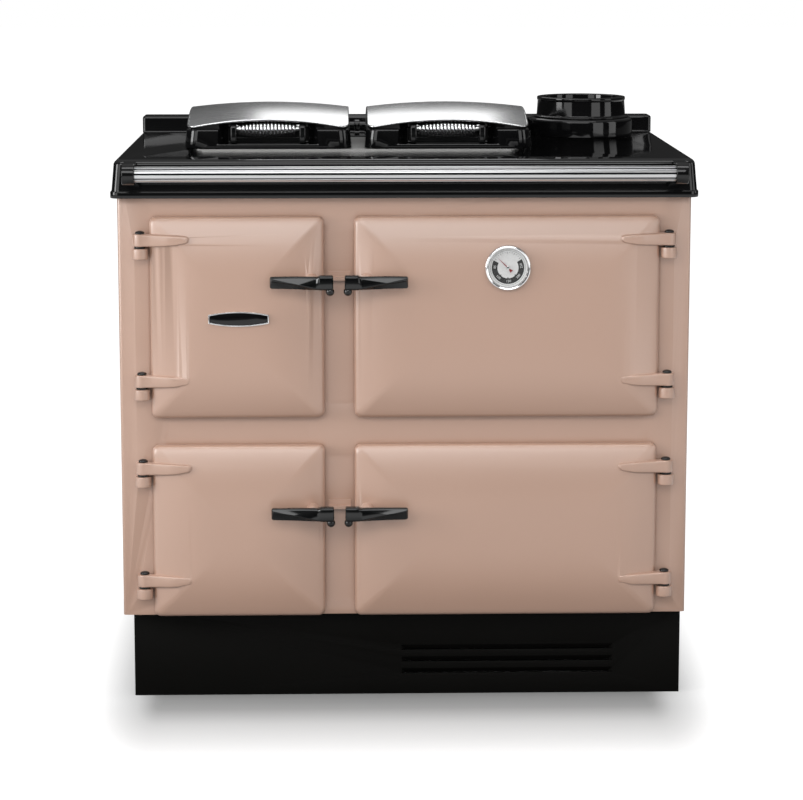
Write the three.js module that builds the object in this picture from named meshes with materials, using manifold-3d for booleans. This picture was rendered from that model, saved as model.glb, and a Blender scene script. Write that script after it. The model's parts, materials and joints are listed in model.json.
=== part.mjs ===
// A cast iron range cooker: four hipped doors on strap hinges, an enamelled top plate with two
// insulated lids over one long hotplate, a round flue outlet and a fluted handrail.
// Millimetres. x runs to the right, y runs back from the front edge of the top plate,
// and z runs up from the floor. The last lines move the origin to the middle of the footprint.
import * as THREE from 'three';
import { mergeVertices } from 'three/addons/utils/BufferGeometryUtils.js';
import Module from 'manifold-3d';

const wasm = await Module();
wasm.setup();

// ---------------------------------------------------------------- driving dimensions
// fits
const seatGap = 0.3; // between pieces that rest on each other
const pinGap = 0.3; // between a pin and its bore, on the radius
const overcut = 1; // how far a cutting solid runs past what it cuts

// plinth
const plinthHeight = 148.5;
const plinthLeftInset = 13.7; // from the cabinet's left side
const plinthRightInset = 2.2;
const plinthSetback = 52; // its front, behind the front edge of the top plate
const plinthRearInset = 11; // from the rear of the side panels
const plinthWall = 4;
const plinthFlange = 32;
const louvreWidth = 352.5;
const louvreMargin = 112.5; // from the plinth's right end
const louvreHeight = 8.6;
const louvrePitch = 20.2;
const louvreCount = 3;
const lowestLouvre = 39.4; // middle of the lowest louvre
const louvreReach = 9; // how far its blade slants in
const louvreBlade = 2; // thickness of that blade

// cabinet
const bodyWidth = 925.4;
const bodyDepth = 588; // front plate's face to the rear of the side panels
const bodyFront = 15; // front plate's face, behind the front edge of the top plate
const baseThickness = 10;
const airHoleRadius = 40;
const frontThickness = 12;
const frontCornerRadius = 5;
const panelThickness = 2.5;
const panelReturn = 20;
const backMargin = 8; // back panel's edge, inside the cabinet's side
const backVentCount = 7;
const backVentWidth = 8;
const backVentHeight = 60;
const backVentCorner = 2.7;
const backVentPitch = 26;

// top plate
const topHeight = 900;
const topOverhang = 4.3; // beyond the cabinet's sides
const topRearOverhang = 9;
const topSlab = 14;
const topCornerRadius = 14;
const topEdgeRadius = 9;
const skirtDrop = 61.4;
const skirtFlare = 3.5;
const lipHeight = 11.4;
const lipStep = 2;
const skirtClearance = 1; // from the cabinet to the inside of the skirt
const upstandDepth = 52;
const upstandHeight = 30;
const upstandInset = 4; // at each end of the top plate
const upstandEdgeRadius = 4;
const upstandCornerRadius = 6;

// hotplate
const hotplateLeftMargin = 110.7; // from the cabinet's left side
const hotplateRightMargin = 261.7;
const hotplateSetback = 2; // its front edge, behind the front of the lids
const hotplateDepth = 248;
const hotplateCornerRadius = 20;
const hotplateProud = 1.2;
const hotplateRim = 7; // thickness of the rim that lies on the ledge
const hotplateLedge = 8; // width of that ledge
const hotplateBelow = 18; // from the top surface to the underside

// handrail
const railSideMargin = 33.7; // from the cabinet's side to the end of the rail
const railRadius = 12.25;
const railFluteDepth = 0.8;
const railFlutes = 18;
const railDrop = 19; // its axis, below the top surface
const railStandoff = 42; // its axis, ahead of the front edge of the top plate
const railEndDepth = 8; // how far the rail goes into each bracket
const bracketWidth = 20;
const bracketHeight = 34;
const bracketNose = 15; // radius of the bracket round the rail

// flue outlet
const flueSideMargin = 41.7; // from the cabinet's right side to the flue box
const flueRearWall = 13.3; // of the upstand, behind its bite for the flue box
const flueHoleRadius = 70;
const flueBoxRadius = 92;
const flueBoxHeight = 32;
const flueBoxEdge = 6;
const flueCollarRadius = 79;
const flueCollarTaper = 1.2;
const flueCollarFlange = 5.5;
const flueCollarHeight = 37;
const collarFlangeHeight = 3;
const collarFillet = 2.5; // between the flange and the spigot
const collarRimHeight = 5;
const collarRimRise = 2; // where the spigot swells into its rim
const collarRimEdge = 1.8;
const flueBoreRadius = 64;
const flueWeb = 3; // clearance of the upstand round the flue box

// lids
const lidGap = 22; // between the two lids
const leftLidOverlap = 13; // beyond the left end of the hotplate
const rightLidOverlap = 16;
const lidDepth = 300;
const lidRearMargin = 70.3; // from the rear upstand to the lids
const lidFrameHeight = 32; // the frame's flat rim, above its foot
const lidCornerRadius = 24;
const lidDraft = 3;
const lidEdge = 2; // height of the eased edges of the frame
const lidEdgeIn = 1.5;
const lidCoreFoot = 4; // how far the core reaches down into the rim
const coverInset = 6;
const coverThickness = 2.4;
const coverRise = 36; // cover's corners, above the frame's foot
const coverCrownX = 14;
const coverCrownY = 24;
const coverCrownLoss = 6;
const coverCornerRadius = 16;
const scoopWidth = 172;
const scoopDepth = 34;
const scoopFloor = 7;
const linerRecess = 4; // hollow in the underside
const linerRim = 16;
const lidAxisBehind = 15; // hinge axis behind the lid's rear edge
const lidAxisHeight = 18; // above the top plate
const lidRodRadius = 5;
const lidEyeRadius = 9;
const lidLugWidth = 16;
const lidLugSpacing = 180;
const lidLugRoot = 4; // how far a lug's web goes into the frame
const rodStandWidth = 9;
const rodStandToe = 4; // height of its foot
const rodStandGap = 2; // from a lid's side

// lid handles
const coilTurns = 16;
const coilLength = 105;
const coilWireRadius = 2.2;
const coilMidRadius = 10.8; // of the wire's centre line
const coilEndRadius = 5.4;
const coilHeight = 32.5; // above the frame's foot
const coilSetback = 15; // its axis, behind the lid's front
const handlePostWidth = 10;
const handlePostRadius = 8;
const handlePostCorner = 5.6;
const handleRodRadius = 2;
const handleStrap = 3;
const handleStrapHeight = 9;

// doors
const hingeSideMargin = 52; // from the cabinet's side to the door's edge
const leftDoorWidth = 280;
const doorSpacing = 48.4; // between the free edges of two doors
const lowerDoorGap = 1; // above the plinth
const lowerDoorHeight = 285.5;
const middleDoorGap = 45.4; // between the lower and the upper doors
const upperDoorGap = 30.2; // under the skirt
const doorStandoff = 1.5; // rear rim, ahead of the front plate
const doorRim = 14.5; // height of the rim wall
const doorEdgeRadius = 6;
const doorCornerRadius = 11;
const doorCrown = 20;
const doorSlopeRun = 100; // how far in from the edge the slopes run
const doorCreaseStart = 6.6; // corner radius where the creases start
const doorCreaseGrowth = 13.2; // what it gains up to the crown
const doorPocketInset = 28;
const doorPocketDepth = 11;
const doorCoreInset = 62;
const doorCoreDepth = 9;
const apertureLap = 18; // door over the front plate, all round
const ropeInset = 4;
const ropeWidth = 10;
const ropeDepth = 5.7;
const ropeFit = 0.3;
const linerGap = 5; // door liner to the side of the aperture
const linerReach = 20; // liner's rear, behind the front plate's face
const linerEdge = 5;

// hinges
const hingeOffset = 15; // pin axis, outside the door's edge
const hingeForward = 13.5; // pin axis, ahead of the front plate's face
const hingeFromTop = 37;
const hingeFromBottom = 61.5;
const armHeight = 20;
const armTipHeight = 13;
const armReach = 64; // onto the door
const armProud = 11; // front of the strap, ahead of the pin axis
const armSwell = 2.5; // of its front, just inside the door's edge
const armEdge = 3;
const armTipRun = 5; // length of its slanted tip
const armTipSink = 2; // of its end below the door's face
const eyeRadius = 11.5;
const pinRadius = 4.5;
const pinCapRadius = 7.8;
const pinCapHeight = 5;
const pinShort = 2; // its end, above the knuckle's underside
const washerRadius = 9.5;
const washerHeight = 3;
const knuckleRadius = 13.2;
const knuckleHeight = 17.5;
const knuckleWebWidth = 21;
const hingeSides = 12; // facets of a hinge bore: its flats stay clear of the pin's corners

// door handles
const upperHandleDrop = 100.4; // its pivot, below the door's top edge
const lowerHandleDrop = 104;
const handlePivotInset = 20; // from the door's free edge
const handleReach = 86; // lever tip, in from the free edge
const handleOverhang = 15; // boss, beyond the free edge
const handleFront = 55; // ahead of the front edge of the top plate
const leverThickness = 17;
const leverHeight = 21;
const leverTipHeight = 19;
const leverTipThickness = 12.2;
const leverTipRun = 4; // length of the eased tip
const leverEdge = 2;
const bossHeight = 24;
const bossLength = 23;
const bossStep = 6; // length of the step down to the lever
const spindleRadius = 5;
const spindlePostRadius = 10;
const spindleEnd = 6; // its rear end, behind the front edge of the top plate
const postGap = 0.3;
const tailOffset = 10; // latch tail, beyond the free edge
const tailDrop = 8;
const tailRadius = 3.5;
const tailGap = 1.5; // from the latch tail to the stile
const rollerRadius = 7;
const rollerDrop = 14.5;
const keeperWidth = 8; // past the tails it holds
const keeperHeight = 5; // of its ledge
const keeperFlange = 14; // height of the flange that lies on the stile
const keeperThickness = 3;
const keeperReach = 11.7;
const keeperGap = 1;

// thermometer
const thermometerDrop = 80.4; // its middle, below the door's top edge
const bezelRadius = 37;
const bezelProud = 9;
const bezelEdge = 2.5;
const windowRadius = 31.2;
const barrelRadius = 33;
const barrelLength = 20;
const dialProud = 2.8; // dial face, ahead of the door's crown
const needleLength = 22;
const needleTail = 9;
const needleWidth = 1.6; // half of it at the hub
const needleTipWidth = 0.3;
const needleTailWidth = 2.6;
const needleThickness = 0.8;
const needleHubRadius = 3.6;
const needleHubProud = 0.6;
const needleLift = 2.2; // above the dial
const needleRestAngle = 135; // degrees from +x, counter-clockwise seen from the front
const glassThickness = 1.5;
const glassSink = 1.4; // below the bezel's front
const stemRadius = 3.5;
const stemReach = 62;

// ovens, firebox and burner
const ovenWall = 5;
const ovenDepth = 430;
const ovenCornerRadius = 14;
const ledgeWidth = 12;
const ledgeThickness = 4;
const ledgeStart = 62; // from the oven's mouth
const ledgeLevels = 3;
const shelfDepth = 350;
const shelfRearGap = 8;
const shelfSideGap = 3;
const shelfWireRadius = 3;
const shelfBarRadius = 2.4;
const shelfBars = 9;
const fireboxWall = 8;
const fireboxDepth = 400;
const fireboxDrop = 32; // its rim, below the top surface
const burnerHoleRadius = 44;
const burnerRadius = 42;
const burnerFlangeRadius = 58;
const burnerFlange = 5;
const burnerHeight = 62;
const burnerWall = 4;
const burnerRise = 22; // above the firebox floor
const valveWidth = 92;
const valveDepth = 64;
const valveHeight = 74;
const valveFront = 150;
const valveEdge = 6;
const valveSpindle = 8; // how far it stands into the knob
const knobRadius = 20;
const knobGripWidth = 9;
const knobGripHeight = 7;
const knobFace = 15; // thickness of the disc under the grip
const knobChamfer = 2;
const knobGripShort = 3; // from the grip's ends to the rim
const pipeRadius = 5;
const pipeStraight = 20; // at each end of its bend

// ---------------------------------------------------------------- finishes
const finish = (color, roughness, metalness) => (
  new THREE.MeshStandardMaterial({ color, roughness, metalness }));
const pinkEnamel = () => finish(0xcfa797, 0.35, 0);
const blackEnamel = () => finish(0x101012, 0.12, 0);
const plinthPaint = () => finish(0x17181b, 0.5, 0);
const greyEnamel = () => finish(0x4a4d52, 0.4, 0.1);
const castIron = () => finish(0x3c3d3f, 0.55, 0.8);
const machinedIron = () => finish(0x9a9a98, 0.35, 0.9);
const brushedSteel = () => finish(0xc9cbcd, 0.3, 1);
const brightSteel = () => finish(0xdfe1e3, 0.18, 1);
const satinAluminium = () => finish(0xb4b6b8, 0.4, 1);
const galvanised = () => finish(0x9aa0a3, 0.5, 0.8);
const blackGlaze = () => finish(0x0b0b0c, 0.15, 0);
const glassRope = () => finish(0xd8d4c8, 0.9, 0);
const needleRed = () => finish(0xa02a24, 0.4, 0);
const clearGlass = () => finish(0xf2f6f7, 0.05, 0);
const brass = () => finish(0xb89a5a, 0.35, 1);

// ---------------------------------------------------------------- places worked out from the sizes
const lowerDoorBottom = plinthHeight + lowerDoorGap;
const lowerDoorTop = lowerDoorBottom + lowerDoorHeight;
const upperDoorBottom = lowerDoorTop + middleDoorGap;
const upperDoorTop = topHeight - skirtDrop - upperDoorGap;
const upperDoorHeight = upperDoorTop - upperDoorBottom;
const upperHandleHeight = upperDoorTop - upperHandleDrop;
const lowerHandleHeight = lowerDoorTop - lowerHandleDrop;
const thermometerHeight = upperDoorTop - thermometerDrop;
const railHeight = topHeight - railDrop;
const fireboxTop = topHeight - fireboxDrop;
const bodyHalf = bodyWidth / 2;
const bodyRear = bodyFront + bodyDepth;
const bodyBottom = plinthHeight + seatGap;
const baseTop = bodyBottom + baseThickness;
const frontBack = bodyFront + frontThickness;
const topUnderside = topHeight - topSlab;
const bodyTop = topUnderside - seatGap;
const topHalf = bodyHalf + topOverhang;
const backRear = bodyRear + seatGap + panelThickness;
const topRear = backRear + topRearOverhang - panelThickness;
const plinthRear = bodyRear - plinthRearInset;
const doorRear = bodyFront - doorStandoff;
const doorFace = doorRear - doorRim; // front of the rim
const doorCrownFace = doorFace - doorCrown;
const hingeEdge = bodyHalf - hingeSideMargin;
const rightDoorWidth = 2 * hingeEdge - leftDoorWidth - doorSpacing;
const pinX = hingeEdge + hingeOffset;
const pinY = bodyFront - hingeForward;
const hotplateLeft = -bodyHalf + hotplateLeftMargin;
const hotplateRight = bodyHalf - hotplateRightMargin;
const lidWidth = (hotplateRight + rightLidOverlap - hotplateLeft + leftLidOverlap - lidGap) / 2;
const leftLidX = hotplateLeft - leftLidOverlap + lidWidth / 2;
const rightLidX = hotplateRight + rightLidOverlap - lidWidth / 2;
const lidFoot = topHeight + hotplateProud + seatGap;
const lidFront = topRear - upstandDepth - lidRearMargin - lidDepth;
const hotplateFront = lidFront + hotplateSetback;
const lidAxisY = lidFront + lidDepth + lidAxisBehind;
const lidAxisZ = topHeight + lidAxisHeight;
const railLength = bodyWidth - 2 * railSideMargin;
const flueX = bodyHalf - flueSideMargin - flueBoxRadius;
const flueDepth = topRear - flueRearWall - flueWeb - flueBoxRadius;
const plinthLeft = -bodyHalf + plinthLeftInset;
const plinthRight = bodyHalf - plinthRightInset;
const louvreRight = plinthRight - louvreMargin;
const objectFront = -Math.max(handleFront, railStandoff + bracketNose);

// the four doors: side is -1 where the hinges are on the left and 1 where they are on the right
const doors = [
  { name: 'upper_left', side: -1, width: leftDoorWidth, bottom: upperDoorBottom,
    height: upperDoorHeight, handle: upperHandleHeight },
  { name: 'upper_right', side: 1, width: rightDoorWidth, bottom: upperDoorBottom,
    height: upperDoorHeight, handle: upperHandleHeight },
  { name: 'lower_left', side: -1, width: leftDoorWidth, bottom: lowerDoorBottom,
    height: lowerDoorHeight, handle: lowerHandleHeight },
  { name: 'lower_right', side: 1, width: rightDoorWidth, bottom: lowerDoorBottom,
    height: lowerDoorHeight, handle: lowerHandleHeight },
];
const lids = [{ name: 'left', x: leftLidX }, { name: 'right', x: rightLidX }];
const doorMiddle = (door) => door.side * (hingeEdge - door.width / 2);
const thermometerX = doorMiddle(doors[1]);

// x of a point that lies a distance in from a door's hinge edge
const doorX = (door, inward) => door.side * (hingeEdge - inward);

// the outline of a door, drawn in from its edge by an inset: [x low, x high, z low, z high]
function doorFrame(door, inset) {
  const hinge = doorX(door, inset);
  const free = doorX(door, door.width - inset);
  const top = door.bottom + door.height;
  return [Math.min(hinge, free), Math.max(hinge, free), door.bottom + inset, top - inset];
}

// ---------------------------------------------------------------- solids
// a closed geometry as a solid, with its doubled points merged and its faces pointing out
function solid(geometry) {
  const bare = geometry.clone();
  bare.deleteAttribute('normal');
  bare.deleteAttribute('uv');
  const merged = mergeVertices(bare, 1e-4);
  const points = merged.attributes.position.array;
  const triangles = [];
  let volume = 0;
  const corner = (i) => new THREE.Vector3(points[3 * i], points[3 * i + 1], points[3 * i + 2]);
  for (let i = 0; i < merged.index.count; i += 3) {
    const [a, b, c] = [0, 1, 2].map((k) => merged.index.getX(i + k));
    if (a === b || b === c || c === a) continue;
    triangles.push([a, b, c]);
    volume += corner(a).dot(corner(b).cross(corner(c)));
  }
  const triVerts = Uint32Array.from(triangles.flatMap(([a, b, c]) => (volume < 0 ? [a, c, b] : [a, b, c])));
  const vertProperties = Float32Array.from(points);
  return new wasm.Manifold(new wasm.Mesh({ numProp: 3, vertProperties, triVerts }));
}

const join = (...solids) => solids.reduce((whole, next) => whole.add(next));
const cut = (whole, ...tools) => tools.reduce((left, tool) => left.subtract(tool), whole);

function box(x0, x1, y0, y1, z0, z1) {
  const geometry = new THREE.BoxGeometry(x1 - x0, y1 - y0, z1 - z0);
  geometry.translate((x0 + x1) / 2, (y0 + y1) / 2, (z0 + z1) / 2);
  return solid(geometry);
}

// a rounded rectangle as a list of [u, v] points, counter-clockwise
function roundedOutline(u0, u1, v0, v1, radius, steps = 4) {
  const points = [];
  const centres = [[u1 - radius, v1 - radius], [u0 + radius, v1 - radius],
    [u0 + radius, v0 + radius], [u1 - radius, v0 + radius]];
  centres.forEach(([u, v], quarter) => {
    for (let k = 0; k <= steps; k += 1) {
      const angle = (quarter + k / steps) * Math.PI / 2;
      points.push([u + radius * Math.cos(angle), v + radius * Math.sin(angle)]);
    }
  });
  return points;
}

// rings of equal length joined one after another into a closed skin, with flat ends
function loft(rings) {
  const count = rings[0].length;
  const points = rings.flat();
  const triangles = [];
  for (let r = 0; r + 1 < rings.length; r += 1) {
    for (let k = 0; k < count; k += 1) {
      const a = r * count + k;
      const b = r * count + (k + 1) % count;
      triangles.push(a, b, b + count, a, b + count, a + count);
    }
  }
  const last = (rings.length - 1) * count;
  for (let k = 1; k + 1 < count; k += 1) {
    triangles.push(0, k + 1, k, last, last + k, last + k + 1);
  }
  return solid(bufferGeometry(points.flat(), triangles));
}

function bufferGeometry(numbers, triangles) {
  const geometry = new THREE.BufferGeometry();
  geometry.setAttribute('position', new THREE.Float32BufferAttribute(numbers, 3));
  geometry.setIndex(triangles);
  return geometry;
}

// outlines stacked up z, back along y or across x: each level is [outline, place]
const stackUp = (levels) => loft(levels.map(([outline, z]) => outline.map(([u, v]) => [u, v, z])));
const stackBack = (levels) => loft(levels.map(([outline, y]) => outline.map(([u, v]) => [u, y, v])));
const stackAcross = (levels) => loft(levels.map(([outline, x]) => outline.map(([u, v]) => [x, u, v])));

// a polygon of [u, v] points drawn out between two places, along z, y or x
function prism(outline, from, to, along, holes = []) {
  const toPath = (points) => points.map(([u, v]) => new THREE.Vector2(u, v));
  const shape = new THREE.Shape(toPath(outline));
  shape.holes = holes.map((hole) => new THREE.Path(toPath(hole)));
  const geometry = new THREE.ExtrudeGeometry(shape, { depth: to - from, bevelEnabled: false });
  geometry.translate(0, 0, from);
  const turn = { z: [0, 1, 2], y: [0, 2, 1], x: [2, 0, 1] }[along];
  const position = geometry.attributes.position;
  for (let i = 0; i < position.count; i += 1) {
    const at = [position.getX(i), position.getY(i), position.getZ(i)];
    position.setXYZ(i, at[turn[0]], at[turn[1]], at[turn[2]]);
  }
  return solid(geometry);
}

// a turned shape: the profile is a list of [radius, place along the axis] that closes on itself or
// starts and ends on the axis. The axis goes through (x, y, z) along 'z', 'y' or 'x'.
function turned(profile, [x, y, z], along, sides = 24) {
  const points = profile.map(([radius, place]) => new THREE.Vector2(radius, place));
  const geometry = new THREE.LatheGeometry(points, sides);
  const position = geometry.attributes.position;
  for (let i = 0; i < position.count; i += 1) {
    const [u, place, v] = [position.getX(i), position.getY(i), position.getZ(i)];
    const at = { z: [u, v, place], y: [u, place, v], x: [place, u, v] }[along];
    position.setXYZ(i, x + at[0], y + at[1], z + at[2]);
  }
  return solid(geometry);
}

// a round bar between two places on its axis, which goes through [u, v] of the other two axes
function bar([u, v], from, to, radius, along, sides = 24) {
  const origin = { z: [u, v, 0], y: [u, 0, v], x: [0, u, v] }[along];
  return turned([[0, from], [radius, from], [radius, to], [0, to]], origin, along, sides);
}

const cooker = new THREE.Group();

function addPiece(name, piece, material) {
  const { vertProperties, triVerts } = piece.getMesh();
  const geometry = bufferGeometry(Array.from(vertProperties), Array.from(triVerts));
  geometry.computeVertexNormals();
  const mesh = new THREE.Mesh(geometry, material);
  mesh.name = name;
  cooker.add(mesh);
}

// ---------------------------------------------------------------- plinth and cabinet
// folded steel box with an inward flange at the foot and three slanted louvres in its front
function plinth() {
  const wallBox = (inset, low, high) => box(plinthLeft + inset, plinthRight - inset,
    plinthSetback + inset, plinthRear - inset, low, high);
  let piece = cut(wallBox(0, 0, plinthHeight), wallBox(plinthWall, plinthWall, plinthHeight - plinthWall));
  piece = cut(piece, wallBox(plinthFlange, -plinthWall, plinthHeight + plinthWall));
  for (let i = 0; i < louvreCount; i += 1) {
    piece = louvre(piece, lowestLouvre + i * louvrePitch);
  }
  return piece;
}

// a slot with a blade behind it that slants in and down from the slot's upper edge
function louvre(piece, height) {
  const left = louvreRight - louvreWidth;
  const top = height + louvreHeight / 2;
  const bottom = height - louvreHeight / 2;
  const back = plinthSetback + plinthWall;
  const slot = box(left, louvreRight, plinthSetback - overcut, back + overcut, bottom, top);
  const tip = back + louvreReach;
  const root = back - plinthWall / 2;
  const section = [[root, top + louvreBlade], [back, top + louvreBlade], [tip, bottom + louvreBlade],
    [tip, bottom], [back, top], [root, top]];
  return join(cut(piece, slot), prism(section, left - louvreBlade, louvreRight + louvreBlade, 'x'));
}

// cast base with an air hole under the burner
function basePlate() {
  const plate = box(-bodyHalf, bodyHalf, frontBack + seatGap, bodyRear, bodyBottom, baseTop);
  const hole = bar([burnerX, burnerY], bodyBottom - overcut, baseTop + overcut, airHoleRadius, 'z');
  return cut(plate, hole);
}

// cast front with four door apertures and the lower hinge knuckles
function frontPlate() {
  const r = frontCornerRadius;
  const plan = [[-bodyHalf, frontBack], [bodyHalf, frontBack]];
  for (let k = 0; k <= 3; k += 1) {
    const angle = k * Math.PI / 6;
    plan.push([bodyHalf - r + r * Math.cos(angle), bodyFront + r - r * Math.sin(angle)]);
  }
  for (let k = 3; k >= 0; k -= 1) {
    const angle = k * Math.PI / 6;
    plan.push([-bodyHalf + r - r * Math.cos(angle), bodyFront + r - r * Math.sin(angle)]);
  }
  let piece = prism(plan, bodyBottom, bodyTop, 'z');
  for (const door of doors) {
    const [x0, x1, z0, z1] = doorFrame(door, apertureLap);
    const hole = roundedOutline(x0, x1, z0, z1, doorCornerRadius, 2);
    piece = cut(piece, prism(hole, bodyFront - overcut, frontBack + overcut, 'y'));
    for (const armLow of hingeLevels(door)) piece = join(piece, knuckle(door, armLow));
  }
  for (const door of doors) {
    for (const armLow of hingeLevels(door)) piece = cut(piece, pinBore(door, armLow));
  }
  return piece;
}

// the undersides of a door's two hinge arms
function hingeLevels(door) {
  const underArm = (middle) => middle - armHeight / 2;
  return [underArm(door.bottom + door.height - hingeFromTop), underArm(door.bottom + hingeFromBottom)];
}

const washerSpace = washerHeight + 2 * seatGap;

function knuckle(door, armLow) {
  const top = armLow - washerSpace;
  const x = door.side * pinX;
  const round = bar([x, pinY], top - knuckleHeight, top, knuckleRadius, 'z', 12);
  const half = knuckleWebWidth / 2;
  const web = box(x - half, x + half, pinY, bodyFront + frontThickness / 2, top - knuckleHeight, top);
  return join(round, web);
}

function pinBore(door, armLow) {
  const top = armLow - washerSpace;
  const axis = [door.side * pinX, pinY];
  return bar(axis, top - knuckleHeight - overcut, top + overcut, pinRadius + pinGap, 'z', hingeSides);
}

// angle on the stile between two doors, whose ledge the latch tails of both handles sit under
function latchKeeper(leftDoor, rightDoor) {
  const tailX = (door) => doorX(door, door.width + tailOffset);
  const low = leftDoor.handle - tailDrop + tailRadius + keeperGap;
  const back = bodyFront - seatGap;
  const front = back - keeperReach;
  const section = [[front, low], [back, low], [back, low + keeperFlange],
    [back - keeperThickness, low + keeperFlange], [back - keeperThickness, low + keeperHeight],
    [front, low + keeperHeight]];
  const half = keeperWidth / 2;
  return prism(section, tailX(leftDoor) - half, tailX(rightDoor) + half, 'x');
}

// folded steel side with returned front and rear edges
function sidePanel(side) {
  const outer = side * bodyHalf;
  const inner = side * (bodyHalf - panelThickness);
  const lip = side * (bodyHalf - panelReturn);
  const front = frontBack + seatGap;
  const section = [[outer, front], [outer, bodyRear], [lip, bodyRear], [lip, bodyRear - panelThickness],
    [inner, bodyRear - panelThickness], [inner, front + panelThickness], [lip, front + panelThickness],
    [lip, front]];
  return prism(section, baseTop + seatGap, bodyTop, 'z');
}

// flat steel back with a row of air slots near its foot
function backPanel() {
  const half = bodyHalf - backMargin;
  const low = baseTop + seatGap;
  const holes = [];
  for (let i = 0; i < backVentCount; i += 1) {
    const x = (i - (backVentCount - 1) / 2) * backVentPitch;
    const foot = low + backVentHeight;
    holes.push(roundedOutline(x - backVentWidth / 2, x + backVentWidth / 2, foot, foot + backVentHeight,
      backVentCorner, 1));
  }
  const outline = roundedOutline(-half, half, low, bodyTop, backMargin, 2);
  return prism(outline, bodyRear + seatGap, backRear, 'y', holes);
}

// ---------------------------------------------------------------- top plate and what stands on it
const topOutline = (out, radius) => roundedOutline(-topHalf - out, topHalf + out, -out, topRear,
  radius, 4);

// cast top with a flared skirt, a stepped lip and openings for the hotplate and the flue
function topPlate() {
  const skirtFoot = topHeight - skirtDrop;
  const levels = [
    [topOutline(skirtFlare + lipStep, topCornerRadius), skirtFoot],
    [topOutline(skirtFlare + lipStep, topCornerRadius), skirtFoot + lipHeight - lipStep / 2],
    [topOutline(skirtFlare, topCornerRadius), skirtFoot + lipHeight],
    [topOutline(0, topCornerRadius), topHeight - topEdgeRadius],
  ];
  for (const degrees of [30, 60, 90]) {
    const angle = THREE.MathUtils.degToRad(degrees);
    const inward = topEdgeRadius * (1 - Math.cos(angle));
    const z = topHeight - topEdgeRadius * (1 - Math.sin(angle));
    const outline = roundedOutline(-topHalf + inward, topHalf - inward, inward, topRear - inward / 2,
      topCornerRadius - inward / 2, 4);
    levels.push([outline, z]);
  }
  const hollow = box(-bodyHalf - skirtClearance, bodyHalf + skirtClearance, bodyFront - skirtClearance,
    backRear + skirtClearance, skirtFoot - overcut, topUnderside);
  const seat = stackUp([[hotplateOutline(seatGap), topHeight - hotplateRim - seatGap],
    [hotplateOutline(seatGap), topHeight + overcut]]);
  const well = stackUp([[hotplateOutline(-hotplateLedge), topUnderside - overcut],
    [hotplateOutline(-hotplateLedge), topHeight]]);
  const holeFoot = topUnderside - overcut;
  const flueHole = bar([flueX, flueDepth], holeFoot, topHeight + overcut, flueHoleRadius, 'z', 28);
  return cut(stackUp(levels), hollow, seat, well, flueHole);
}

const hotplateOutline = (out) => roundedOutline(hotplateLeft - out, hotplateRight + out,
  hotplateFront - out, hotplateFront + hotplateDepth + out, hotplateCornerRadius + Math.min(out, 0) / 2, 4);

// machined slab whose rim lies on the ledge of the top plate's opening
function hotplate() {
  const rimFoot = topHeight - hotplateRim;
  const inner = -hotplateLedge - seatGap;
  return stackUp([
    [hotplateOutline(inner), topHeight - hotplateBelow],
    [hotplateOutline(inner), rimFoot],
    [hotplateOutline(0), rimFoot],
    [hotplateOutline(0), topHeight + hotplateProud / 2],
    [hotplateOutline(-hotplateProud / 2), topHeight + hotplateProud],
  ]);
}

// raised rear ledge with rounded ends and a round bite for the flue box
function rearUpstand() {
  const front = topRear - upstandDepth;
  const half = topHalf - upstandInset;
  const top = topHeight + upstandHeight;
  const edge = upstandEdgeRadius;
  const ring = (inset, z) => [roundedOutline(-half + inset, half - inset, front + inset, topRear - inset,
    upstandCornerRadius - inset, 2), z];
  const levels = [ring(0, topHeight + seatGap)];
  for (const [inset, z] of shoulder(0, top, edge, 2)) levels.push(ring(-inset, z));
  const bite = bar([flueX, flueDepth], topHeight - overcut, top + overcut, flueBoxRadius + flueWeb, 'z', 40);
  return cut(stackUp(levels), bite);
}

// quarter round from an upright wall to a flat top, as [distance out, height] points
function shoulder(wall, top, edge, steps) {
  const points = [];
  for (let k = 0; k <= steps; k += 1) {
    const angle = k * Math.PI / 2 / steps;
    points.push([wall - edge * (1 - Math.cos(angle)), top - edge * (1 - Math.sin(angle))]);
  }
  return points;
}

// drum that stands on the top plate over the flue hole
function flueBox() {
  const low = topHeight + seatGap;
  const top = topHeight + flueBoxHeight;
  const edge = flueBoxEdge;
  return turned([[flueHoleRadius, low], [flueBoxRadius, low], ...shoulder(flueBoxRadius, top, edge, 3),
    [flueBoreRadius, top], [flueBoreRadius, top - edge], [flueHoleRadius, top - 2 * edge],
    [flueHoleRadius, low]], [flueX, flueDepth, 0], 'z', 28);
}

// tapered spigot with a foot flange and a rolled rim, open right through
function flueCollar() {
  const low = topHeight + flueBoxHeight + seatGap;
  const top = topHeight + flueBoxHeight + flueCollarHeight;
  const r = flueCollarRadius;
  const flange = r + flueCollarFlange;
  const narrow = r - flueCollarTaper;
  const rimFoot = top - collarRimHeight;
  return turned([[flueBoreRadius, low], [flange, low], [flange, low + collarFlangeHeight],
    [r, low + collarFlangeHeight + collarFillet], [narrow, rimFoot - collarRimRise], [r, rimFoot],
    ...shoulder(r, top, collarRimEdge, 1), [flueBoreRadius, top], [flueBoreRadius, low]],
  [flueX, flueDepth, 0], 'z', 28);
}

// ---------------------------------------------------------------- handrail
function handrail() {
  const outline = [];
  const steps = railFlutes * 4;
  for (let k = 0; k < steps; k += 1) {
    const angle = k * 2 * Math.PI / steps;
    const r = railRadius - (k % 4 === 0 ? railFluteDepth : 0);
    outline.push([-railStandoff + r * Math.cos(angle), railHeight + r * Math.sin(angle)]);
  }
  const half = railLength / 2 + railEndDepth - seatGap;
  return prism(outline, -half, half, 'x');
}

// y of the skirt's slanted face at a height
const skirtFace = (z) => -skirtFlare * Math.min(1, Math.max(0,
  (topHeight - topEdgeRadius - z) / (skirtDrop - topEdgeRadius - lipHeight)));

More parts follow.
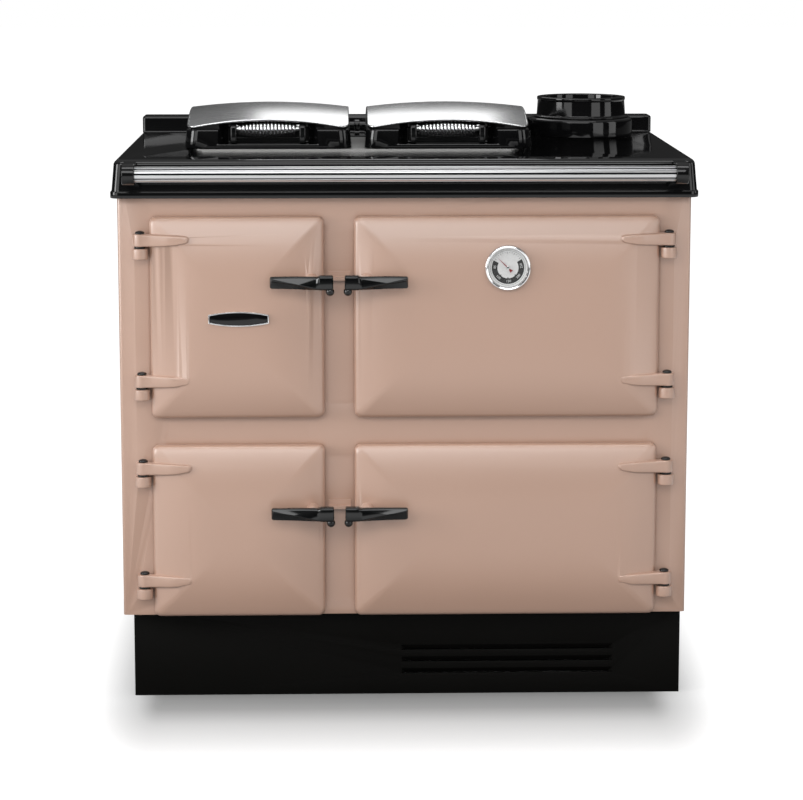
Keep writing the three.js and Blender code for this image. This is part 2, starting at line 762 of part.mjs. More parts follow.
// round-nosed end bracket that stands on the skirt and holds the rail's end in a blind bore
function railBracket(side) {
  const top = railHeight + bracketHeight / 2;
  const bottom = railHeight - bracketHeight / 2;
  const kneeZ = Math.min(top, topHeight - topEdgeRadius);
  const outline = [[skirtFace(bottom) - seatGap, bottom], [skirtFace(kneeZ) - seatGap, kneeZ],
    [-seatGap, top]];
  for (let k = 0; k <= 8; k += 1) {
    const angle = Math.PI / 2 + k * Math.PI / 8;
    outline.push([-railStandoff + bracketNose * Math.cos(angle),
      railHeight + (bracketHeight / 2) * Math.sin(angle)]);
  }
  const inner = railLength / 2;
  const body = prism(outline, side * inner, side * (inner + bracketWidth), 'x');
  const socket = bar([-railStandoff, railHeight], side * (inner - overcut), side * (inner + railEndDepth),
    railRadius + seatGap, 'x', 32);
  return cut(body, socket);
}

// ---------------------------------------------------------------- lids
// height of the cover's outer skin above the lid's foot
function coverHeight(x, y, lid) {
  const u = (x - lid.x) / (lidWidth / 2 - coverInset);
  const v = (y - lidFront - lidDepth / 2) / (lidDepth / 2 - coverInset);
  const across = 1 - u * u;
  const back = 1 - v * v;
  return lidFoot + coverRise + coverCrownX * across + coverCrownY * back - coverCrownLoss * across * back;
}

const lidOutline = (lid, inset, radius) => roundedOutline(lid.x - lidWidth / 2 + inset,
  lid.x + lidWidth / 2 - inset, lidFront + inset, lidFront + lidDepth - inset, radius, 3);

// a slab over a lid's plan whose top and underside follow functions of x and y, with like facets
function crownedSlab(lid, inset, radius, topAt, footAt) {
  const outline = denser(lidOutline(lid, inset, radius), 3);
  const count = outline.length;
  const centre = [lid.x, lidFront + lidDepth / 2];
  const scales = [1, 0.75, 0.45, 0.15];
  const plan = scales.flatMap((scale) => outline.map(([x, y]) => [
    centre[0] + (x - centre[0]) * scale, centre[1] + (y - centre[1]) * scale]));
  plan.push(centre);
  const skin = [];
  for (let r = 0; r + 1 < scales.length; r += 1) {
    for (let k = 0; k < count; k += 1) {
      const a = r * count + k;
      const b = r * count + (k + 1) % count;
      skin.push([a, b, b + count], [a, b + count, a + count]);
    }
  }
  const innermost = (scales.length - 1) * count;
  for (let k = 0; k < count; k += 1) skin.push([innermost + k, innermost + (k + 1) % count, plan.length - 1]);
  const triangles = skin.flatMap(([a, b, c]) => [a, b, c, plan.length + a, plan.length + c, plan.length + b]);
  for (let k = 0; k < count; k += 1) {
    const next = (k + 1) % count;
    triangles.push(k, plan.length + k, plan.length + next, k, plan.length + next, next);
  }
  const points = [topAt, footAt].flatMap((heightAt) => plan.map(([x, y]) => [x, y, heightAt(x, y)]));
  return solid(bufferGeometry(points.flat(), triangles));
}

// the same outline with its straight sides divided
function denser(outline, parts) {
  const points = [];
  outline.forEach(([u, v], i) => {
    const [nextU, nextV] = outline[(i + 1) % outline.length];
    const long = Math.hypot(nextU - u, nextV - v) > lidWidth / 3;
    const count = long ? parts : 1;
    for (let k = 0; k < count; k += 1) {
      points.push([u + (nextU - u) * k / count, v + (nextV - v) * k / count]);
    }
  });
  return points;
}

// pressed steel cover, a shell of even thickness
function lidCover(lid) {
  const top = (x, y) => coverHeight(x, y, lid);
  return crownedSlab(lid, coverInset, coverCornerRadius, top, (x, y) => top(x, y) - coverThickness);
}

// cast frame: drafted sides, a crowned core under the cover, a scoop for the handle, a hollow
// underside and two hinge lugs
function lidFrame(lid) {
  const rim = lidFoot + lidFrameHeight;
  const r = lidCornerRadius;
  const sides = stackUp([
    [lidOutline(lid, lidEdgeIn, r), lidFoot],
    [lidOutline(lid, 0, r), lidFoot + lidEdge],
    [lidOutline(lid, lidDraft, r), rim - lidEdge],
    [lidOutline(lid, lidDraft + lidEdgeIn, r), rim],
  ]);
  const core = crownedSlab(lid, coverInset, coverCornerRadius,
    (x, y) => coverHeight(x, y, lid) - coverThickness - seatGap, () => rim - lidCoreFoot);
  const scoop = stackUp([
    [scoopOutline(lid), lidFoot + scoopFloor],
    [scoopOutline(lid), lidFoot + coverRise + coverCrownX + coverCrownY],
  ]);
  const hollow = stackUp([[lidOutline(lid, linerRim, r / 2), lidFoot - overcut],
    [lidOutline(lid, linerRim + lidEdge, r / 2), lidFoot + linerRecess]]);
  let piece = cut(join(sides, core), scoop, hollow);
  for (const x of lugPlaces(lid)) piece = join(piece, hingeLug(x));
  const bore = lidRodRadius + pinGap;
  for (const x of lugPlaces(lid)) {
    piece = cut(piece, bar([lidAxisY, lidAxisZ], x - lidLugWidth, x + lidLugWidth, bore, 'x', 12));
  }
  return piece;
}

const lugPlaces = (lid) => [lid.x - lidLugSpacing / 2, lid.x + lidLugSpacing / 2];

function scoopOutline(lid) {
  const half = scoopWidth / 2;
  const flare = scoopDepth / 3;
  const back = lidFront + scoopDepth;
  const front = lidFront - overcut;
  return [[lid.x + half, front], [lid.x + half - flare, back - flare / 2],
    [lid.x + half - 1.5 * flare, back], [lid.x - half + 1.5 * flare, back],
    [lid.x - half + flare, back - flare / 2], [lid.x - half, front]];
}

function hingeLug(x) {
  const half = lidLugWidth / 2;
  const rear = lidFront + lidDepth;
  const eye = bar([lidAxisY, lidAxisZ], x - half, x + half, lidEyeRadius, 'x', 14);
  const web = box(x - half, x + half, rear - lidDraft - lidLugRoot, lidAxisY, lidAxisZ - lidEyeRadius / 2,
    lidAxisZ + lidEyeRadius / 2);
  return join(eye, web);
}

// hinge rod of both lids with its three stands on the top plate
function lidHingeRod() {
  const left = leftLidX - lidWidth / 2;
  const right = rightLidX + lidWidth / 2;
  const middle = (leftLidX + rightLidX) / 2;
  const half = rodStandWidth / 2;
  const stands = [left - half - rodStandGap, middle, right + half + rodStandGap];
  let piece = bar([lidAxisY, lidAxisZ], stands[0], stands[2], lidRodRadius, 'x', 12);
  for (const x of stands) {
    const foot = topHeight + seatGap;
    const head = bar([lidAxisY, lidAxisZ], x - half, x + half, lidEyeRadius, 'x', 12);
    const leg = box(x - half, x + half, lidAxisY - lidEyeRadius, lidAxisY + lidEyeRadius, foot, lidAxisZ);
    const reach = 2 * lidEyeRadius;
    const toe = box(x - half, x + half, lidAxisY - reach, lidAxisY + reach, foot, foot + rodStandToe);
    piece = join(piece, head, leg, toe);
  }
  return piece;
}

// ---------------------------------------------------------------- coil handles
const postInner = coilLength / 2 + seatGap;

// centre line of the coil: a barrel of turns with straight ends along the handle's axis
function coilPath(lid) {
  const y = lidFront + coilSetback;
  const z = lidFoot + coilHeight;
  const straight = 2 * coilWireRadius;
  const wound = coilLength / 2 - straight;
  const points = [];
  const steps = coilTurns * 8;
  for (let i = 0; i <= steps; i += 1) {
    const t = i / steps;
    const angle = i * Math.PI / 4 + Math.PI / 2;
    const radius = coilEndRadius + (coilMidRadius - coilEndRadius) * Math.sin(Math.PI * t) ** 0.7;
    points.push(new THREE.Vector3(lid.x - wound + 2 * wound * t, y + radius * Math.cos(angle),
      z + radius * Math.sin(angle)));
  }
  const first = points[0].clone();
  const last = points[steps].clone();
  first.x -= straight;
  last.x += straight;
  return [first, ...points, last];
}

// least distance between wires of neighbouring turns, measured between the steps of the path
function coilGap(path) {
  let least = Infinity;
  for (let i = 0; i < path.length; i += 1) {
    for (let j = i + 5; j < path.length; j += 1) {
      least = Math.min(least, path[i].distanceTo(path[j]) - 2 * coilWireRadius);
    }
  }
  return least;
}

// one unbroken tube of five sides along the path
function handleCoil(lid) {
  const path = coilPath(lid);
  const sides = 5;
  let previous = new THREE.Vector3(0, 0, 1);
  const rings = path.map((point, i) => {
    const before = path[Math.max(i - 1, 0)];
    const after = path[Math.min(i + 1, path.length - 1)];
    const along = after.clone().sub(before).normalize();
    if (i === 0 || i === path.length - 1) along.set(1, 0, 0);
    const up = previous.clone().addScaledVector(along, -previous.dot(along)).normalize();
    previous = up;
    const across = along.clone().cross(up);
    const ring = [];
    for (let k = 0; k < sides; k += 1) {
      const angle = k * 2 * Math.PI / sides;
      const at = point.clone().addScaledVector(up, coilWireRadius * Math.cos(angle));
      at.addScaledVector(across, coilWireRadius * Math.sin(angle));
      ring.push(at.toArray());
    }
    return ring;
  });
  return loft(rings);
}

// two posts on a back strap, with the rod that runs through the coil
function handleBracket(lid) {
  const y = lidFront + coilSetback;
  const z = lidFoot + coilHeight;
  const back = lidFront + scoopDepth - seatGap;
  const low = lidFoot + scoopFloor + seatGap;
  const outer = postInner + handlePostWidth;
  const r = handlePostRadius;
  const rodEnd = postInner + handlePostWidth / 2;
  let piece = bar([y, z], lid.x - rodEnd, lid.x + rodEnd, handleRodRadius, 'x', 10);
  const strapTop = low + handleStrapHeight;
  piece = join(piece, box(lid.x - outer, lid.x + outer, back - handleStrap, back, low, strapTop));
  for (const side of [-1, 1]) {
    const outline = roundedOutline(y - r, y + r, low, z + r, handlePostCorner, 2);
    const from = Math.min(side * postInner, side * outer) + lid.x;
    piece = join(piece, prism(outline, from, from + handlePostWidth, 'x'));
    piece = join(piece, box(from, from + handlePostWidth, y, back, low, strapTop));
  }
  return piece;
}

// ---------------------------------------------------------------- doors
// how far the door's face has risen at a distance in from the rim
function doorRise(inset) {
  const t = Math.min(1, inset / doorSlopeRun);
  return doorCrown * (1 - (1 - t) ** 2);
}

// hollow casting: upright rim, rounded edge, four slopes that meet in fading diagonal creases
function doorCasting(door) {
  const ring = (inset, y, radius) => {
    const [x0, x1, z0, z1] = doorFrame(door, inset);
    return [roundedOutline(x0, x1, z0, z1, radius, 2), y];
  };
  const shoulder = doorFace + doorEdgeRadius;
  const levels = [ring(0, doorRear, doorCornerRadius), ring(0, shoulder, doorCornerRadius)];
  for (const degrees of [45, 90]) {
    const angle = THREE.MathUtils.degToRad(degrees);
    const inset = doorEdgeRadius * (1 - Math.cos(angle));
    const y = shoulder - (doorEdgeRadius + doorRise(inset)) * Math.sin(angle);
    levels.push(ring(inset, y, doorCornerRadius - inset / 2));
  }
  for (const share of [0.2, 0.4, 0.65, 1]) {
    const inset = doorSlopeRun * share;
    levels.push(ring(inset, doorFace - doorRise(inset), doorCreaseStart + doorCreaseGrowth * share));
  }
  let piece = stackBack(levels);
  for (const armLow of hingeLevels(door)) piece = join(piece, hingeArm(door, armLow));
  piece = join(piece, spindlePost(door));
  return cutDoor(piece, door);
}

// pockets behind the face, the rope groove, the pin bores and the spindle's blind bore
function cutDoor(casting, door) {
  const pocket = (inset, from, to) => {
    const [x0, x1, z0, z1] = doorFrame(door, inset);
    return prism(roundedOutline(x0, x1, z0, z1, doorCornerRadius, 1), from, to, 'y');
  };
  const pocketFloor = doorRear - doorPocketDepth;
  let piece = cut(casting, pocket(doorPocketInset, pocketFloor, doorRear + overcut),
    pocket(doorCoreInset, pocketFloor - doorCoreDepth, pocketFloor + overcut),
    ropeRing(door, ropeWidth, doorRear - ropeDepth, doorRear + overcut));
  for (const armLow of hingeLevels(door)) {
    piece = cut(piece, bar([door.side * pinX, pinY], armLow - overcut, armLow + armHeight + overcut,
      pinRadius + pinGap, 'z', hingeSides));
  }
  const pivotX = doorX(door, door.width - handlePivotInset);
  piece = cut(piece, bar([pivotX, door.handle], -handleFront, spindleEnd + seatGap,
    spindleRadius + pinGap, 'y', 12));
  if (door.name === 'upper_right') {
    piece = cut(piece, bar([thermometerX, thermometerHeight], doorCrownFace - overcut, doorRear + overcut,
      barrelRadius + seatGap, 'y', 24));
  }
  return piece;
}

// tapered strap from the eye on the pin to a tip that runs out into the door's slope
function hingeArm(door, armLow) {
  const middle = armLow + armHeight / 2;
  const inward = (distance) => doorX(door, distance - hingeOffset);
  const eye = bar([door.side * pinX, pinY], armLow, armLow + armHeight, eyeRadius, 'z', 12);
  const reach = armReach + hingeOffset;
  const tipFace = doorFace - doorRise(armReach);
  const section = (distance, front, back, height) => {
    const half = height / 2;
    return [roundedOutline(front, back, middle - half, middle + half, Math.min(armEdge, height / 4), 1),
      inward(distance)];
  };
  const back = doorFace + doorRim / 2;
  const front = pinY - armProud - armSwell;
  const strap = stackAcross([
    section(0, pinY - armProud, pinY + armProud / 2, armHeight),
    section(reach * 0.3, front, back, armHeight),
    section(reach * 0.7, (front + tipFace - armSwell - armTipSink) / 2, back,
      (armHeight + armTipHeight) / 2),
    section(reach + armTipSink - armTipRun, tipFace - armTipSink / 2, doorFace + armTipSink, armTipHeight),
    section(reach + armTipSink, tipFace + armTipSink, doorFace + 1.5 * armTipSink,
      armTipHeight - 2 * armTipSink),
  ]);
  return join(eye, strap);
}

// post on the door that carries the handle's spindle
function spindlePost(door) {
  const x = doorX(door, door.width - handlePivotInset);
  const front = -handleFront + leverThickness + postGap;
  return bar([x, door.handle], front, doorFace, spindlePostRadius, 'y', 14);
}

// rope ring of a width between two depths, drawn in from the door's edge
function ropeRing(door, width, from, to) {
  const slack = (ropeWidth - width) / 2;
  const ring = (inset) => {
    const [x0, x1, z0, z1] = doorFrame(door, inset);
    return roundedOutline(x0, x1, z0, z1, doorCornerRadius * 0.7, 2);
  };
  return prism(ring(ropeInset + slack), from, to, 'y', [ring(ropeInset + ropeWidth - slack)]);
}

const doorSeal = (door) => ropeRing(door, ropeWidth - 2 * ropeFit, doorRear - ropeDepth + ropeFit,
  bodyFront - seatGap);

// insulated plug on the door's rear that fills the aperture
function doorLiner(door) {
  const ring = (inset, y) => {
    const [x0, x1, z0, z1] = doorFrame(door, inset);
    return [roundedOutline(x0, x1, z0, z1, doorCornerRadius, 3), y];
  };
  const edge = apertureLap + linerGap;
  const rear = bodyFront + linerReach;
  const plug = stackBack([ring(edge, doorRear + seatGap), ring(edge, rear - linerEdge),
    ring(edge + linerEdge / 2, rear - linerEdge / 3), ring(edge + linerEdge, rear)]);
  const panel = stackBack([ring(edge + 5 * linerEdge, rear - linerEdge / 2),
    ring(edge + 4 * linerEdge, rear + overcut)]);
  const piece = cut(plug, panel);
  if (door.name !== 'upper_right') return piece;
  const stem = stemRadius + seatGap;
  return cut(piece, bar([thermometerX, thermometerHeight], doorRear, rear + overcut, stem, 'y', 12));
}

// pin with a domed cap, and the washer that the door's eye turns on
function hingePin(door, armLow) {
  const foot = armLow - washerSpace - knuckleHeight + pinShort;
  const washerLow = armLow - washerSpace + seatGap;
  const capLow = armLow + armHeight + seatGap;
  const cap = pinCapRadius;
  return turned([[0, foot], [pinRadius, foot], [pinRadius, washerLow], [washerRadius, washerLow],
    [washerRadius, washerLow + washerHeight], [pinRadius, washerLow + washerHeight], [pinRadius, capLow],
    [cap, capLow], [cap, capLow + pinCapHeight / 3], [cap * 2 / 3, capLow + pinCapHeight * 0.9],
    [0, capLow + pinCapHeight]], [door.side * pinX, pinY, 0], 'z', 8);
}

// lever with a ridged bar, a boss over the stile, a spindle, a latch tail and its roller end
function doorHandle(door) {
  const z = door.handle;
  const front = -handleFront;
  const back = front + leverThickness;
  const inward = (distance) => doorX(door, door.width - distance);
  const section = (distance, height, thickness) => {
    const h = height / 2;
    const nose = back - thickness;
    const e = leverEdge;
    return [[[nose, z + h / 4], [nose, z - h / 10], [nose + thickness * 0.3, z - h], [back - e, z - h],
      [back, z - h + e], [back, z + h - e], [back - e, z + h], [nose + thickness * 0.45, z + h]],
    inward(distance)];
  };
  const bossStart = bossLength - handleOverhang;
  const e = leverEdge;
  const lever = stackAcross([
    section(handleReach, leverTipHeight - 2 * e, leverTipThickness - 1.5 * e),
    section(handleReach - leverTipRun, leverTipHeight, leverTipThickness),
    section(bossStart + bossStep, leverHeight, leverThickness - 1.3 * e),
    section(bossStart, bossHeight, leverThickness),
    section(-handleOverhang + e, bossHeight, leverThickness),
    section(-handleOverhang, bossHeight - 1.5 * e, leverThickness - 1.5 * e),
  ]);
  const pivot = inward(handlePivotInset);
  const tailX = inward(-tailOffset);
  const spindle = bar([pivot, z], back - e, spindleEnd, spindleRadius, 'y', 12);
  const tail = bar([tailX, z - tailDrop], back - e, bodyFront - tailGap, tailRadius, 'y', 8);
  const roller = turned(ballProfile(rollerRadius, 4), [tailX, (front + back) / 2, z - rollerDrop], 'y', 10);
  return join(lever, spindle, tail, roller);
}

function ballProfile(radius, steps) {
  const profile = [];
  for (let k = 0; k <= steps; k += 1) {
    const angle = -Math.PI / 2 + k * Math.PI / steps;
    profile.push([k % steps === 0 ? 0 : radius * Math.cos(angle), radius * Math.sin(angle)]);
  }
  return profile;
}

// ---------------------------------------------------------------- thermometer
const bezelFront = doorCrownFace - bezelProud;
const dialFace = doorCrownFace - dialProud;
const needleFace = dialFace - needleLift;

// bright bezel round the dial, barrel through the door and the sensing stem that reaches the oven
function thermometerCase() {
  const rear = doorCrownFace + barrelLength;
  const seat = doorCrownFace - seatGap;
  const rim = shoulder(bezelRadius, -bezelFront, bezelEdge, 2).map(([radius, out]) => [radius, -out]);
  const profile = [[0, rear + stemReach], [stemRadius, rear + stemReach], [stemRadius, rear],
    [barrelRadius, rear], [barrelRadius, seat], [bezelRadius, seat], ...rim,
    [windowRadius, bezelFront], [windowRadius, dialFace], [0, dialFace]];
  return turned(profile, [thermometerX, 0, thermometerHeight], 'y', 24);
}

const thermometerGlass = () => bar([thermometerX, thermometerHeight], bezelFront + glassSink,
  bezelFront + glassSink + glassThickness, windowRadius - seatGap, 'y', 24);

// tapered pointer with a flared tail on a hub that turns on the dial
function thermometerNeedle() {
  const angle = THREE.MathUtils.degToRad(needleRestAngle);
  const at = (along, across) => [
    thermometerX + along * Math.cos(angle) - across * Math.sin(angle),
    thermometerHeight + along * Math.sin(angle) + across * Math.cos(angle),
  ];
  const outline = [at(needleLength, needleTipWidth), at(0, needleWidth), at(-needleTail, needleTailWidth),
    at(-needleTail, -needleTailWidth), at(0, -needleWidth), at(needleLength, -needleTipWidth)];
  const pointer = prism(outline, needleFace, needleFace + needleThickness, 'y');
  const axis = [thermometerX, thermometerHeight];
  const hub = bar(axis, needleFace - needleHubProud, dialFace - seatGap, needleHubRadius, 'y', 12);
  return join(pointer, hub);
}

// ---------------------------------------------------------------- ovens and shelves
// mouth of a door's chamber: [x low, x high, z low, z high]
const mouth = (door) => doorFrame(door, apertureLap);

// box with rounded corners, an open front and ledges for a shelf on both sides
function oven(door) {
  const [x0, x1, z0, z1] = mouth(door);
  const w = ovenWall;
  const start = frontBack + seatGap;
  const end = start + ovenDepth;
  const outside = roundedOutline(x0 - w, x1 + w, z0 - w, z1 + w, ovenCornerRadius + w, 3);
  const inside = roundedOutline(x0, x1, z0, z1, ovenCornerRadius, 3);
  let piece = cut(prism(outside, start, end, 'y'), prism(inside, start - overcut, end - w, 'y'));
  for (const level of ledgeHeights(door)) {
    for (const [from, to] of [[x0 - w / 2, x0 + ledgeWidth], [x1 - ledgeWidth, x1 + w / 2]]) {
      piece = join(piece, box(from, to, start + ledgeStart, end - w / 2, level - ledgeThickness, level));
    }
  }
  return piece;
}

// top faces of the ledges
function ledgeHeights(door) {
  const [, , z0, z1] = mouth(door);
  const heights = [];
  for (let i = 1; i <= ledgeLevels; i += 1) heights.push(z0 + (z1 - z0) * i / (ledgeLevels + 1));
  return heights;
}

// wire shelf on one pair of ledges
function ovenShelf(door, levelIndex) {
  const [x0, x1] = mouth(door);
  const r = shelfWireRadius;
  const z = ledgeHeights(door)[levelIndex] + seatGap + r;
  const rear = frontBack + seatGap + ovenDepth - ovenWall - shelfRearGap;
  const front = rear - shelfDepth;
  const left = x0 + shelfSideGap + r;
  const right = x1 - shelfSideGap - r;
  let piece = join(bar([front + r, z], left - r, right + r, r, 'x', 6),
    bar([rear - r, z], left - r, right + r, r, 'x', 6));
  for (let i = 0; i < shelfBars; i += 1) {
    const x = left + (right - left) * i / (shelfBars - 1);
    piece = join(piece, bar([x, z], front + r, rear - r, shelfBarRadius, 'y', 5));
  }
  return piece;
}

// ---------------------------------------------------------------- firebox, burner and fuel valve
const fireDoor = doors[0];
const burnerX = (mouth(fireDoor)[0] + mouth(fireDoor)[1]) / 2;
const burnerY = frontBack + seatGap + fireboxDepth / 2;
const fireFloor = mouth(fireDoor)[2];

// cast box, open at the front and at the top under the hotplate, with a burner hole in its floor
function firebox() {
  const [x0, x1, z0, z1] = mouth(fireDoor);
  const w = fireboxWall;
  const start = frontBack + seatGap;
  const end = start + fireboxDepth;
  const outer = box(x0 - w, x1 + w, start, end, z0 - w, fireboxTop);
  const inside = box(x0, x1, start + w, end - w, z0, fireboxTop + overcut);
  const front = box(x0, x1, start - overcut, start + w + overcut, z0, z1);
  const hole = bar([burnerX, burnerY], z0 - w - overcut, z0 + overcut, burnerHoleRadius, 'z', 24);
  return cut(outer, inside, front, hole);
}

// cup burner that hangs by its flange under the firebox floor
function burnerPot() {
  const flangeTop = fireFloor - fireboxWall - seatGap;
  const top = fireFloor + burnerRise;
  const foot = top - burnerHeight;
  const r = burnerRadius;
  const flangeFoot = flangeTop - burnerFlange;
  const profile = [[0, foot], [r, foot], [r, flangeFoot], [burnerFlangeRadius, flangeFoot],
    [burnerFlangeRadius, flangeTop], [r, flangeTop], [r, top], [r - burnerWall, top],
    [r - burnerWall, foot + burnerWall], [0, foot + burnerWall]];
  return turned(profile, [burnerX, burnerY, 0], 'z', 24);
}

// fuel control on the base plate, with the pipe that rises to the burner
function fuelValve() {
  const low = baseTop + seatGap;
  const r = valveEdge;
  const outline = (inset, radius) => {
    const half = valveWidth / 2 - inset;
    return roundedOutline(burnerX - half, burnerX + half, valveFront + inset, valveFront + valveDepth - inset,
      radius, 2);
  };
  const body = stackUp([[outline(0, r), low], [outline(0, r), low + valveHeight - r],
    [outline(r, r / 2), low + valveHeight]]);
  const spindle = bar([burnerX, knobHeight], valveFront - valveSpindle, valveFront + r, pipeRadius, 'y', 12);
  const pipeY = valveFront + valveDepth / 2;
  const burnerFoot = fireFloor + burnerRise - burnerHeight;
  const valveTop = low + valveHeight;
  const bend = burnerFoot - pipeStraight;
  const path = new THREE.CatmullRomCurve3([
    new THREE.Vector3(burnerX, pipeY, valveTop - r / 3),
    new THREE.Vector3(burnerX, pipeY, valveTop + pipeStraight),
    new THREE.Vector3(burnerX, (pipeY + burnerY) / 2, (valveTop + bend) / 2),
    new THREE.Vector3(burnerX, burnerY, bend - pipeStraight),
    new THREE.Vector3(burnerX, burnerY, burnerFoot - seatGap),
  ]);
  return join(body, spindle, tube(path, pipeRadius, 14, 8));
}

const knobHeight = baseTop + seatGap + valveHeight / 2;

// round tube along a curve that lies in a plane of constant x
function tube(path, radius, steps, sides) {
  const outline = [];
  for (let k = 0; k < sides; k += 1) {
    const angle = k * 2 * Math.PI / sides;
    outline.push(new THREE.Vector2(radius * Math.cos(angle), radius * Math.sin(angle)));
  }
  return solid(new THREE.ExtrudeGeometry(new THREE.Shape(outline), { steps, extrudePath: path }));
}

// round knob with a raised grip, bored for the valve's spindle
function controlKnob() {
  const back = valveFront - seatGap;
  const face = back - knobFace;
  const r = knobRadius;
  const disc = turned([[0, back], [r, back], [r, face + knobChamfer], [r - knobChamfer, face], [0, face]],
    [burnerX, 0, knobHeight], 'y', 20);
  const half = knobGripWidth / 2;
  const reach = r - knobGripShort;
  const grip = box(burnerX - half, burnerX + half, face - knobGripHeight, back - valveSpindle,
    knobHeight - reach, knobHeight + reach);
  const bore = bar([burnerX, knobHeight], valveFront - valveSpindle - seatGap, valveFront,
    pipeRadius + pinGap, 'y', 12);
  return cut(join(disc, grip), bore);
}

// ---------------------------------------------------------------- assembly
addPiece('plinth', plinth(), plinthPaint());
addPiece('base_plate', basePlate(), castIron());
addPiece('front_plate', frontPlate(), pinkEnamel());
addPiece('side_panel_left', sidePanel(-1), pinkEnamel());
addPiece('side_panel_right', sidePanel(1), pinkEnamel());
addPiece('back_panel', backPanel(), galvanised());
addPiece('top_plate', topPlate(), blackEnamel());
addPiece('rear_upstand', rearUpstand(), blackEnamel());
addPiece('hotplate', hotplate(), machinedIron());
addPiece('latch_keeper_upper', latchKeeper(doors[0], doors[1]), pinkEnamel());
addPiece('latch_keeper_lower', latchKeeper(doors[2], doors[3]), pinkEnamel());
addPiece('handrail', handrail(), satinAluminium());
addPiece('handrail_bracket_left', railBracket(-1), blackEnamel());
addPiece('handrail_bracket_right', railBracket(1), blackEnamel());
addPiece('flue_box', flueBox(), blackEnamel());
addPiece('flue_collar', flueCollar(), blackEnamel());
addPiece('lid_hinge_rod', lidHingeRod(), blackEnamel());
addPiece('main_oven', oven(doors[1]), greyEnamel());
addPiece('lower_oven', oven(doors[3]), greyEnamel());
addPiece('main_oven_shelf', ovenShelf(doors[1], 1), brightSteel());
addPiece('lower_oven_shelf', ovenShelf(doors[3], 0), brightSteel());
addPiece('firebox', firebox(), castIron());
addPiece('burner_pot', burnerPot(), castIron());
addPiece('fuel_valve', fuelValve(), brass());
addPiece('control_knob', controlKnob(), blackGlaze());

for (const door of doors) {
  addPiece(`door_${door.name}`, doorCasting(door), pinkEnamel());
  addPiece(`door_liner_${door.name}`, doorLiner(door), galvanised());
  addPiece(`door_seal_${door.name}`, doorSeal(door), glassRope());
  addPiece(`door_handle_${door.name}`, doorHandle(door), blackGlaze());
  hingeLevels(door).forEach((armLow, i) => {
    addPiece(`hinge_pin_${door.name}_${['top', 'bottom'][i]}`, hingePin(door, armLow), blackGlaze());
  });
}

for (const lid of lids) {
  addPiece(`lid_frame_${lid.name}`, lidFrame(lid), blackEnamel());
  addPiece(`lid_cover_${lid.name}`, lidCover(lid), brushedSteel());
  addPiece(`lid_handle_coil_${lid.name}`, handleCoil(lid), brightSteel());
  addPiece(`lid_handle_bracket_${lid.name}`, handleBracket(lid), blackGlaze());
}
console.log(`least gap between the turns of a coil handle: ${coilGap(coilPath(lids[0])).toFixed(2)} mm`);

addPiece('thermometer_case', thermometerCase(), brightSteel());
addPiece('thermometer_needle', thermometerNeedle(), needleRed());
addPiece('thermometer_glass', thermometerGlass(), clearGlass());

cooker.position.y = -(objectFront + topRear) / 2;

export default cooker;
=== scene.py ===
import json
from contextlib import contextmanager
from math import cos, pi, radians, sin

import bmesh
import bpy
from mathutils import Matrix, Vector


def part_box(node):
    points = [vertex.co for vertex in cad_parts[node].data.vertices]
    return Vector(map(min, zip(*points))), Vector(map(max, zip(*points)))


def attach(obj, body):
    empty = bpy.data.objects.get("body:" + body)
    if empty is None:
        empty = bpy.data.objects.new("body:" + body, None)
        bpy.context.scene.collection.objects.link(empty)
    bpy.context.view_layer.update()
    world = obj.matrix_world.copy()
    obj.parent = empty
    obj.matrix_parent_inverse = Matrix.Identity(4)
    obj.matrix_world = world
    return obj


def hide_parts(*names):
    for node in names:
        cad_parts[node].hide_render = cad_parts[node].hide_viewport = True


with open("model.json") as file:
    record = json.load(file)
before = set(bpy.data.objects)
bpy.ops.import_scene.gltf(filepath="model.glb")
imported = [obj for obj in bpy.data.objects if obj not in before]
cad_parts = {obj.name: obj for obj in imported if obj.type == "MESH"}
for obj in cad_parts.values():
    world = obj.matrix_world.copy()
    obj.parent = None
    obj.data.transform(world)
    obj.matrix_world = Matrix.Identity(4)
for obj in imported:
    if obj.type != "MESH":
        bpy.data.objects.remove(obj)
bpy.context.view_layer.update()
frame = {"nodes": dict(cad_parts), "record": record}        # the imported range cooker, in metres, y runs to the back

mm = 0.001
doorNames = ("upper_left", "upper_right", "lower_left", "lower_right")
lidNames = ("left", "right")


def toPlainName(words):      # upper_left -> UpperLeft
    return "".join(word.capitalize() for word in words.split("_"))


# camera first, at the height and distance of the photograph
cameraSettings = {
    "eye": (-0.1005, -4.2533, 1.2551),
    "pitch": 0.1468,         # down, radians
    "yaw": 0.0238,           # to the right
    "lens": 111.71,
    "shiftY": -0.12,
}


def makeCamera():
    s = cameraSettings
    bpy.ops.object.camera_add(location=s["eye"], rotation=(pi / 2 - s["pitch"], 0, -s["yaw"]))
    camera = bpy.context.active_object
    camera.data.lens = s["lens"]
    camera.data.sensor_width = 36
    camera.data.shift_y = s["shiftY"]
    bpy.context.scene.camera = camera


makeCamera()
print("camera placed")


# modelling helpers
def deselectAll():
    bpy.ops.object.select_all(action="DESELECT")


def makeActive(piece):
    deselectAll()
    piece.select_set(True)
    bpy.context.view_layer.objects.active = piece


def settle(piece, name):     # name it and put its place into its mesh
    piece.name = name
    piece.data.name = name
    makeActive(piece)
    bpy.ops.object.transform_apply(location=True, rotation=True, scale=True)
    return piece


@contextmanager
def editing(piece, kind="FACE"):
    makeActive(piece)
    bpy.ops.object.mode_set(mode="EDIT")
    bpy.ops.mesh.select_mode(type=kind)
    bpy.ops.mesh.select_all(action="DESELECT")
    yield
    bpy.ops.object.mode_set(mode="OBJECT")


def selectAll():
    bpy.ops.mesh.select_all(action="SELECT")


